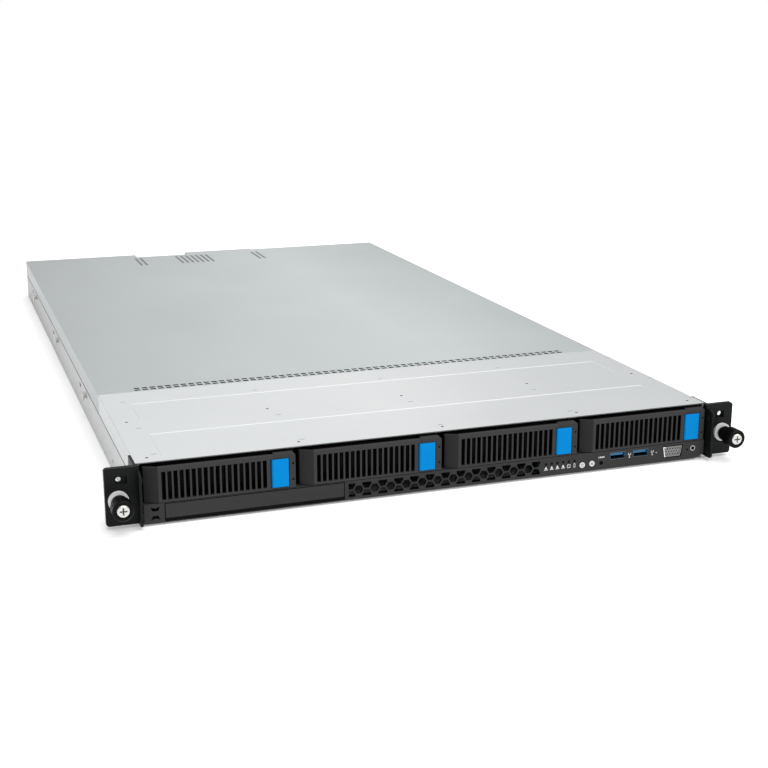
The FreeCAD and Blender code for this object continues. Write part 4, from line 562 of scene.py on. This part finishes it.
def lacquered(name):
    """Green lacquer with lighter traces and small gold pads."""
    finish = Finish(name, (0.02, 0.12, 0.06), 0.35, Coat_Weight=0.4, Coat_Roughness=0.15)
    across = finish.noise(2.2 * MM, 1.0, (0.05, 1, 0.05)) > 0.06
    along = finish.noise(2.2 * MM, 1.0, (1, 0.05, 0.05)) > 0.08
    traces = across.either(along)
    cells = finish.node("ShaderNodeTexVoronoi", {}, Vector=finish.here, Scale=1 / (6 * MM))
    pads = cells < 0.09
    green = finish.mix(traces, (0.012, 0.085, 0.04), (0.03, 0.16, 0.075))
    finish.put("Base Color", finish.mix(pads, green, BARE_GOLD))
    finish.put("Metallic", pads)
    finish.relief(traces + pads, 0.04 * MM)
    return finish.material


board_green = lacquered("board_green")
print("board with traces and pads")

# %% [markdown]
# ## Clear sheet
# The air duct over the processors is thin clear plastic. Transmission lets the heat sinks show
# through, and a little roughness keeps it from looking like window glass.

# %% Clear finish
def clear_sheet(name):
    """Clear plastic with slight scuffs."""
    finish = Finish(name, (0.86, 0.88, 0.90), 0.12, Transmission_Weight=0.9, IOR=1.49)
    scuffs = finish.noise(4 * MM, 4.0)
    finish.put("Roughness", 0.14 + 0.2 * scuffs)
    finish.relief(scuffs, 0.02 * MM)
    return finish.material


clear = clear_sheet("clear")
print("clear duct sheet")

# %% [markdown]
# ## Port blocks of two materials
# A front port is one solid in the frame, but the real one is a metal shell round a tongue or an
# insert of plastic. Its mesh is left alone. Instead masks made from the coordinates pick the
# plastic out: it lies inside the shell, so distances from the port's own middle are enough.

# %% USB ports
SHELL_COLOUR, TONGUE_BLUE = (0.13, 0.14, 0.15), (0.010, 0.155, 0.33)
USB_LOW, USB_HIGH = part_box("front_usb_ports")
USB_WIDTH, USB_SKIN = 13.1 * MM, 0.35 * MM
USB_MIDDLE_Z = (USB_LOW.z + USB_HIGH.z) / 2


def usb_port_finish(name):
    """Tin shells with painted shade inside, and a blue tongue in the upper half."""
    finish = Finish(name, SHELL_COLOUR, 0.3, 1.0)
    centres = (USB_LOW.x + USB_WIDTH / 2, USB_HIGH.x - USB_WIDTH / 2)
    inside = finish.x.near_any(centres, USB_WIDTH / 2 - 0.7 * USB_SKIN)
    inside = inside * finish.z.near(USB_MIDDLE_Z, (USB_HIGH.z - USB_LOW.z) / 2 - 0.7 * USB_SKIN)
    inside = inside * (finish.y > USB_LOW.y + USB_SKIN / 4)
    upper = finish.z.between(USB_MIDDLE_Z - 1.5 * MM, USB_MIDDLE_Z + 1.9 * MM)
    tongue = inside * upper * (finish.y < USB_LOW.y + 8 * MM)
    # Inside the shells the colour is painted shade.
    hollow = finish.mix(inside, SHELL_COLOUR, (0.003, 0.012, 0.025))
    finish.put("Base Color", finish.mix(tongue, hollow, TONGUE_BLUE))
    finish.put("Metallic", 1 - inside)
    finish.put("Roughness", 0.3 + 0.15 * inside)
    finish.relief(finish.noise(0.6 * MM), 0.01 * MM, 0.1 * MM)
    return finish.material


usb_port = usb_port_finish("front_ports")
print("USB ports masked into shells and tongues")

# %% Video port
VIDEO_LOW, VIDEO_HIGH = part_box("front_vga_port")
VIDEO_WIDTH, VIDEO_HEIGHT = 16.4 * MM, 8.0 * MM
VIDEO_SLANT, VIDEO_SKIN = 1.4 * MM, 0.8 * MM
VIDEO_MIDDLE_Z = 9.0 * MM
# The black of the contact holes and of the margin round the shell is painted shade.
INSERT_GREY, CONTACT_HOLE_SHADE, MARGIN_SHADE = (0.19, 0.19, 0.187), grey(0.006), grey(0.003)


def video_port_finish(name):
    """A tapered shell round a grey insert; its left rim keeps a painted highlight, the rest of
    the rim is painted grey as shade, and the contact holes and the margin are painted black as
    shade.
    """
    finish = Finish(name, (0.62, 0.62, 0.61), 0.3, 1.0)
    middle_x = (VIDEO_LOW.x + VIDEO_HIGH.x) / 2
    rim = 0.95 * VIDEO_SKIN
    lean = (VIDEO_MIDDLE_Z + VIDEO_HEIGHT / 2 - finish.z) * (VIDEO_SLANT / VIDEO_HEIGHT)
    inside = (abs(finish.x - middle_x) + lean < VIDEO_WIDTH / 2 - rim) * (
        finish.z.near(VIDEO_MIDDLE_Z, VIDEO_HEIGHT / 2 - rim))
    # The rim keeps bright metal only at its left side, a painted highlight; right of it the rim
    # is painted the insert's grey, as shade.
    past_left_rim = finish.x > middle_x - VIDEO_WIDTH / 2 + VIDEO_SLANT + 0.9 * MM
    insert = inside.either(past_left_rim)
    contacts = inside * (finish.y > VIDEO_LOW.y + 0.75 * MM)
    plate = (1 - inside) * (finish.y > VIDEO_LOW.y + 2.0 * MM)
    face = finish.mix(insert, (0.74, 0.74, 0.73), INSERT_GREY)
    face = finish.mix(contacts, face, CONTACT_HOLE_SHADE)
    finish.put("Base Color", finish.mix(plate, face, MARGIN_SHADE))
    finish.put("Metallic", (1 - insert) * (1 - plate))
    finish.put("Roughness", 0.3 + 0.2 * insert)
    finish.relief(finish.noise(0.6 * MM), 0.01 * MM, 0.1 * MM)
    return finish.material


video_port = video_port_finish("video_port")
print("video port masked into rim, insert and contact holes")

# %% [markdown]
# ## Dressing the frame
# Each solid now gets its finish by name. The solids themselves stay where and as they are, so
# only the material slots change.

# %% Finishes of the frame's solids
def numbered(name, count):
    """Names such as fan_rotor_1, from 1 up to the count."""
    return [f"{name}_{number}" for number in range(1, count + 1)]


FINISHES = [
    (wall_zinc, ["chassis_tray", "rear_panel", "slot_blanks"]),
    (front_zinc, ["front_cover"]),
    (rear_zinc, ["rear_cover"]),
    (cage_zinc, ["drive_cage"]),
    (box_zinc, numbered("psu", 2)),
    (stud_zinc, ["rail_studs"]),
    (powder_black, ["ear_left", "ear_right"]),
    (grained_black, ["front_fascia", "slim_bay_blank"]),
    (carrier_black, numbered("carrier", 4)),
    (lever_black, numbered("lever", 4)),
    (smooth_black, ["knob_left", "knob_right", "board_components", "fan_frames", "reset_button"]
     + numbered("psu_handle", 2) + numbered("fan_rotor", 6)),
    (latch_blue, numbered("latch", 4) + numbered("psu_latch", 2)),
    (button_white, ["power_button", "id_button"]),
    (screw_nickel, ["screw_left", "screw_right"]),
    (ferrule_nickel, ["ferrules"]),
    (drive_shell, numbered("drive", 4)),
    (screw_grey, ["case_screws"]),
    (plain_steel, ["retaining_ring_left", "retaining_ring_right"]),
    (fin_alloy, ["heat_sinks"]),
    (tin, ["rear_io_ports"]),
    (usb_port, ["front_usb_ports"]),
    (video_port, ["front_vga_port"]),
    (board_green, ["front_boards", "motherboard", "memory_modules"]),
    (clear, ["air_duct"])]
dressed = set()
for material, names in FINISHES:
    for name in names:
        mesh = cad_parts[name].data
        mesh.materials.clear()
        mesh.materials.append(material)
        dressed.add(name)
print("dressed", len(dressed), "solids; left bare:", sorted(set(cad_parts) - dressed))

# %% [markdown]
# ## Making small pieces
# Small pieces are modelled as by hand: a primitive is added at its size and place, shaped in
# edit mode, and finished by applying its place, so that the object itself ends at the origin.
# What repeats is modelled once and copied. An operator acts on everything selected, so each
# helper first selects only what it works on.

# %% Selecting, copying and settling
def select_only(*pieces):
    """Nothing but these is selected, and the first of them is active."""
    bpy.ops.object.select_all(action="DESELECT")
    for piece in pieces:
        piece.select_set(True)
    bpy.context.view_layer.objects.active = pieces[0] if pieces else None


def join_all(parts):
    """Several objects become the first one."""
    select_only(*parts)
    bpy.ops.object.join()
    return bpy.context.object


def copied(piece, steps):
    """The piece, and a copy with its own mesh at each step from it."""
    pieces = [piece]
    for step in steps:
        select_only(piece)
        bpy.ops.object.duplicate(linked=False)
        bpy.context.object.location += Vector(step)
        pieces.append(bpy.context.object)
    return pieces


def settle(piece, name, material, body):
    """The place goes into the mesh; the piece gets its name and finish and rides on a body."""
    select_only(piece)
    bpy.ops.object.transform_apply(location=True, rotation=True, scale=True)
    piece.name = name
    piece.data.name = name
    piece.data.materials.clear()
    piece.data.materials.append(material)
    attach(piece, body)


print("helpers for selecting, copying and settling")

# %% Slabs, discs and rings that face the front
FACING_FRONT = (math.pi / 2, 0, 0)


def slab(x, y, z, width, depth, height):
    """A block by its middle and size."""
    select_only()
    bpy.ops.mesh.primitive_cube_add(size=1, location=(x, y, z))
    block = bpy.context.object
    block.scale = (width, depth, height)
    bpy.ops.object.transform_apply(location=False, rotation=False, scale=True)
    return block


def disc(x, y, z, radius, depth, sides, soften=0.0):
    """A disc seen from the front, with its rims softened."""
    select_only()
    bpy.ops.mesh.primitive_cylinder_add(vertices=sides, radius=radius, depth=depth,
                                        location=(x, y, z), rotation=FACING_FRONT)
    if soften:
        bpy.ops.object.mode_set(mode="EDIT")
        bpy.ops.mesh.select_all(action="SELECT")
        bpy.ops.mesh.bevel(offset=soften, segments=2)
        bpy.ops.object.mode_set(mode="OBJECT")
    return bpy.context.object


def ring(x, y, z, outer, inner, depth, sides=24):
    """A flat ring: a circle whose middle is inset and cut away, then thickened."""
    select_only()
    bpy.ops.mesh.primitive_circle_add(vertices=sides, radius=outer, fill_type="NGON",
                                      location=(x, y, z), rotation=FACING_FRONT)
    bpy.ops.object.mode_set(mode="EDIT")
    bpy.ops.mesh.select_all(action="SELECT")
    bpy.ops.mesh.inset(thickness=(outer - inner) * math.cos(math.pi / sides))
    bpy.ops.mesh.delete(type="FACE")
    bpy.ops.mesh.select_all(action="SELECT")
    bpy.ops.mesh.extrude_region_move(TRANSFORM_OT_translate={"value": (0, -depth, 0)})
    bpy.ops.mesh.select_all(action="SELECT")
    bpy.ops.mesh.normals_make_consistent(inside=False)
    bpy.ops.object.mode_set(mode="OBJECT")
    return bpy.context.object


print("helpers for slabs, discs and rings")

# %% [markdown]
# ## Status lamps
# Six light guides end in the fascia's round holes, and two in each drive carrier. Unlit, they
# are dark smoky lenses with a soft highlight. A disc with a softened rim, a little behind the
# surface, is enough, because the hole's own edge frames it.

# %% Lamps of the fascia
lens_dark = moulded("lens_dark", (0.003, 0.0035, 0.003), 0.3, 2 * MM, gloss=0.05)
LAMP_X, LAMP_Z, LAMP_PITCH = 81.7 * MM, 10.6 * MM, 4.7 * MM
LAMP_STEPS = [(lamp * LAMP_PITCH, 0, 0) for lamp in range(1, 6)]
lamp = disc(LAMP_X, FACE_Y + 0.9 * MM, LAMP_Z, 0.95 * MM, 1.2 * MM, 16, 0.3 * MM)
settle(join_all(copied(lamp, LAMP_STEPS)), "status_lamps", lens_dark, "chassis")
print("status lamps:", 1 + len(LAMP_STEPS))

# %% Lamps of the carriers
LENS_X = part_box("carrier_1")[1].x - 1.65 * MM
LENS_LOW_Z, LENS_HIGH_Z = 21.9 * MM, 33.5 * MM
lens = disc(LENS_X, FACE_Y + 0.8 * MM, LENS_LOW_Z, 0.75 * MM, 1 * MM, 12, 0.2 * MM)
pair = join_all(copied(lens, [(0, 0, LENS_HIGH_Z - LENS_LOW_Z)]))
pairs = copied(pair, [(step * BAY_PITCH, 0, 0) for step in range(1, 4)])
for bay, pair in zip(BAYS, pairs):
    settle(pair, f"carrier_lamps_{bay}", lens_dark, f"tray_{bay}")
print("pairs of carrier lamps:", len(pairs))

# %% [markdown]
# ## Printed marks
# The small white signs beside lamps and ports are pad-printed. They are built from a few flat
# shapes each, only five hundredths of a millimetre thick, so that they look like ink. The signs
# are generic: a triangle over a bar for the network, a square for a unit in use, a power cell,
# a plug by each port, a dashed bar by the reset button and a dot by the lamp hole.

# %% Ink
print_white = moulded("print_white", (0.75, 0.75, 0.74), 0.5, 0.6 * MM, 0.0)
INK = 0.05 * MM
INK_Y = FACE_Y - INK / 2


def ink_bar(x, z, width, height):
    """A printed bar by its middle and size."""
    return slab(x, INK_Y, z, width, INK, height)


def ink_dot(x, z, radius, sides):
    """A printed dot, or with three sides a triangle."""
    return disc(x, INK_Y, z, radius, INK, sides)


print("ink", round(INK / MM, 3), "mm thick")

# %% Signs
def network_sign(x, z):
    """A triangle over a bar."""
    return [ink_dot(x, z + 0.4 * MM, 1.3 * MM, 3), ink_bar(x, z - 0.9 * MM, 3 * MM, 0.5 * MM)]


def frame_sign(x, z, reach_x, reach_z, line, overlap):
    """An outline of four bars, whose level ones are longer by the overlap."""
    level = [ink_bar(x, z + side * reach_z, 2 * reach_x + overlap, line) for side in (-1, 1)]
    return level + [ink_bar(x + side * reach_x, z, line, 2 * reach_z) for side in (-1, 1)]


def cell_sign(x, z):
    """A tall outline with a cap: a power cell."""
    cap = ink_bar(x, z + 1.7 * MM, 0.7 * MM, 0.4 * MM)
    return frame_sign(x, z, 0.6 * MM, 1.3 * MM, 0.3 * MM, 0.2 * MM) + [cap]


def plug_sign(x, z):
    """A plug drawn in lines: two prongs on a cross bar, and a tail with a round end."""
    line = 0.35 * MM
    prongs = [ink_bar(x + side * 0.9 * MM, z + 0.9 * MM, line, 1.3 * MM) for side in (-1, 1)]
    tail = [ink_bar(x, z - 0.9 * MM, line, 1.9 * MM), ink_dot(x, z - 1.9 * MM, 0.55 * MM, 8)]
    return [ink_bar(x, z + 0.1 * MM, 2.1 * MM, line)] + prongs + tail


def reset_sign(x, z):
    """A short upright bar and three dashes."""
    dashes = [ink_bar(x + (0.6 + side * 1.4) * MM, z, 0.9 * MM, 1.1 * MM) for side in (-1, 0, 1)]
    return [ink_bar(x - 2.2 * MM, z, 0.4 * MM, 1.5 * MM)] + dashes


print("five kinds of sign")

# %% Printing
SIGN_Z = LAMP_Z - 3.5 * MM
reset_low, reset_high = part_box("reset_button")
network = join_all(network_sign(LAMP_X, SIGN_Z))
plug = join_all(plug_sign(USB_LOW.x + 16.5 * MM, USB_MIDDLE_Z - 0.5 * MM))
signs = copied(network, LAMP_STEPS[:3])
signs += frame_sign(LAMP_X + 4 * LAMP_PITCH, SIGN_Z, 1.1 * MM, 1.1 * MM, 0.4 * MM, 0.4 * MM)
signs += cell_sign(LAMP_X + 5 * LAMP_PITCH, SIGN_Z)
signs += copied(plug, [(USB_HIGH.x - USB_LOW.x - 13.2 * MM, 0, 0)])
signs += reset_sign((reset_low.x + reset_high.x) / 2, 11.1 * MM)
signs += [ink_dot(174.7 * MM, 9.6 * MM, 0.4 * MM, 10)]
settle(join_all(signs), "printed_marks", print_white, "chassis")
print("printed marks")

# %% [markdown]
# ## Signs on the buttons
# The power button carries a ring with a bar, and the locator button a ring with a dot. Each is
# printed on its own cap, so it rides with that cap's body and moves when the cap is pressed.

# %% Button glyphs
def front_middle(node):
    """The middle of a node's front face."""
    low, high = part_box(node)
    return Vector(((low.x + high.x) / 2, low.y, (low.z + high.z) / 2))


glyph_dark = moulded("glyph_dark", grey(0.03), 0.5, 0.6 * MM, 0.0)
power, locator = front_middle("power_button"), front_middle("id_button")
rings = copied(ring(*power, 1.1 * MM, 0.8 * MM, INK), [locator - power])
bar = slab(power.x, power.y - INK / 2, power.z + 0.9 * MM, 0.4 * MM, INK, 1.1 * MM)
dot = disc(locator.x, locator.y - INK / 2, locator.z, 0.4 * MM, INK, 12)
for outline, sign, button in zip(rings, (bar, dot), ("power_button", "id_button")):
    settle(join_all([outline, sign]), f"{button}_glyph", glyph_dark, f"{button}_cap")
print("glyphs on both buttons")

# %% [markdown]
# ## Studio
# A white paper floor fills the view, and glows a little so that it stays white. A broad sun from
# the upper right front gives the top its even light and leaves the left faces softer, and dim
# surroundings keep the black pieces black. What the camera sees past the floor's far edge is
# plain white, so that floor and backdrop join.

# %% Paper floor
select_only()
bpy.ops.mesh.primitive_plane_add(size=120, location=(0, 0, -0.2 * MM))
floor = bpy.context.object
floor.name = "studio_floor"
paper = Finish("paper", grey(0.96), 0.9, Specular_IOR_Level=0.0,
               Emission_Color=(1.0, 1.0, 1.0, 1.0), Emission_Strength=0.22)
paper_grain = paper.noise(300 * MM)
paper.put("Base Color", paper.mix(0.5 + paper_grain, grey(0.955), grey(0.965)))
floor.data.materials.append(paper.material)
print("paper floor")

# %% Surroundings
SKY_LIGHT = 0.50
world = bpy.data.worlds.new("studio")
world.use_nodes = True
nodes, links = world.node_tree.nodes, world.node_tree.links
sky = nodes["Background"]
sky.inputs["Color"].default_value = (1, 1, 1, 1)
sky.inputs["Strength"].default_value = SKY_LIGHT
backdrop = nodes.new("ShaderNodeBackground")
backdrop.inputs["Color"].default_value = (1, 1, 1, 1)
choice = nodes.new("ShaderNodeMixShader")
rays = nodes.new("ShaderNodeLightPath")
links.new(rays.outputs["Is Camera Ray"], choice.inputs[0])
links.new(sky.outputs[0], choice.inputs[1])
links.new(backdrop.outputs[0], choice.inputs[2])
links.new(choice.outputs[0], nodes["World Output"].inputs["Surface"])
bpy.context.scene.world = world
bpy.context.scene.view_settings.view_transform = "Standard"
print("surroundings of strength", SKY_LIGHT)


# %% Lights
def aimed(name, lamp, place, aim):
    """A lamp at a place that looks at a point."""
    holder = bpy.data.objects.new(name, lamp)
    bpy.context.scene.collection.objects.link(holder)
    holder.location = place
    holder.rotation_euler = (Vector(aim) - Vector(place)).to_track_quat("-Z", "Y").to_euler()
    return holder


def softbox(name, place, aim, width, height, power):
    """A rectangular lamp."""
    lamp = bpy.data.lights.new(name, "AREA")
    lamp.shape = "RECTANGLE"
    lamp.size = width
    lamp.size_y = height
    lamp.energy = power
    return aimed(name, lamp, place, aim)


sun = bpy.data.lights.new("sun", "SUN")
sun.energy = 2.6
sun.angle = math.radians(70)
aimed("sun", sun, (0.8, -1.3, 3.0), (0, 0, 0))
softbox("back", (0.35, 2.7, 1.5), (0, 0.3, 0), 1.6, 0.9, 3.5)
print("a sun and a softbox behind")

# %% [markdown]
# ## Camera
# The camera stands to the front left of the server, a third of a metre above the floor, and
# looks down along it with a fairly long lens, so that the long box recedes but doesn't look
# stretched.

# %% Camera
DOWN, ROLL, TO_THE_RIGHT = 15.357, 0.022, 19.380
view = bpy.data.cameras.new("camera")
view.sensor_width = 36
view.lens = 63.14
camera = bpy.data.objects.new("camera", view)
bpy.context.scene.collection.objects.link(camera)
camera.location = (-0.3458, -0.8596, 0.3326)
camera.rotation_euler = [math.radians(angle) for angle in (90 - DOWN, ROLL, -TO_THE_RIGHT)]
bpy.context.scene.camera = camera
print("camera", [round(part, 3) for part in camera.location])
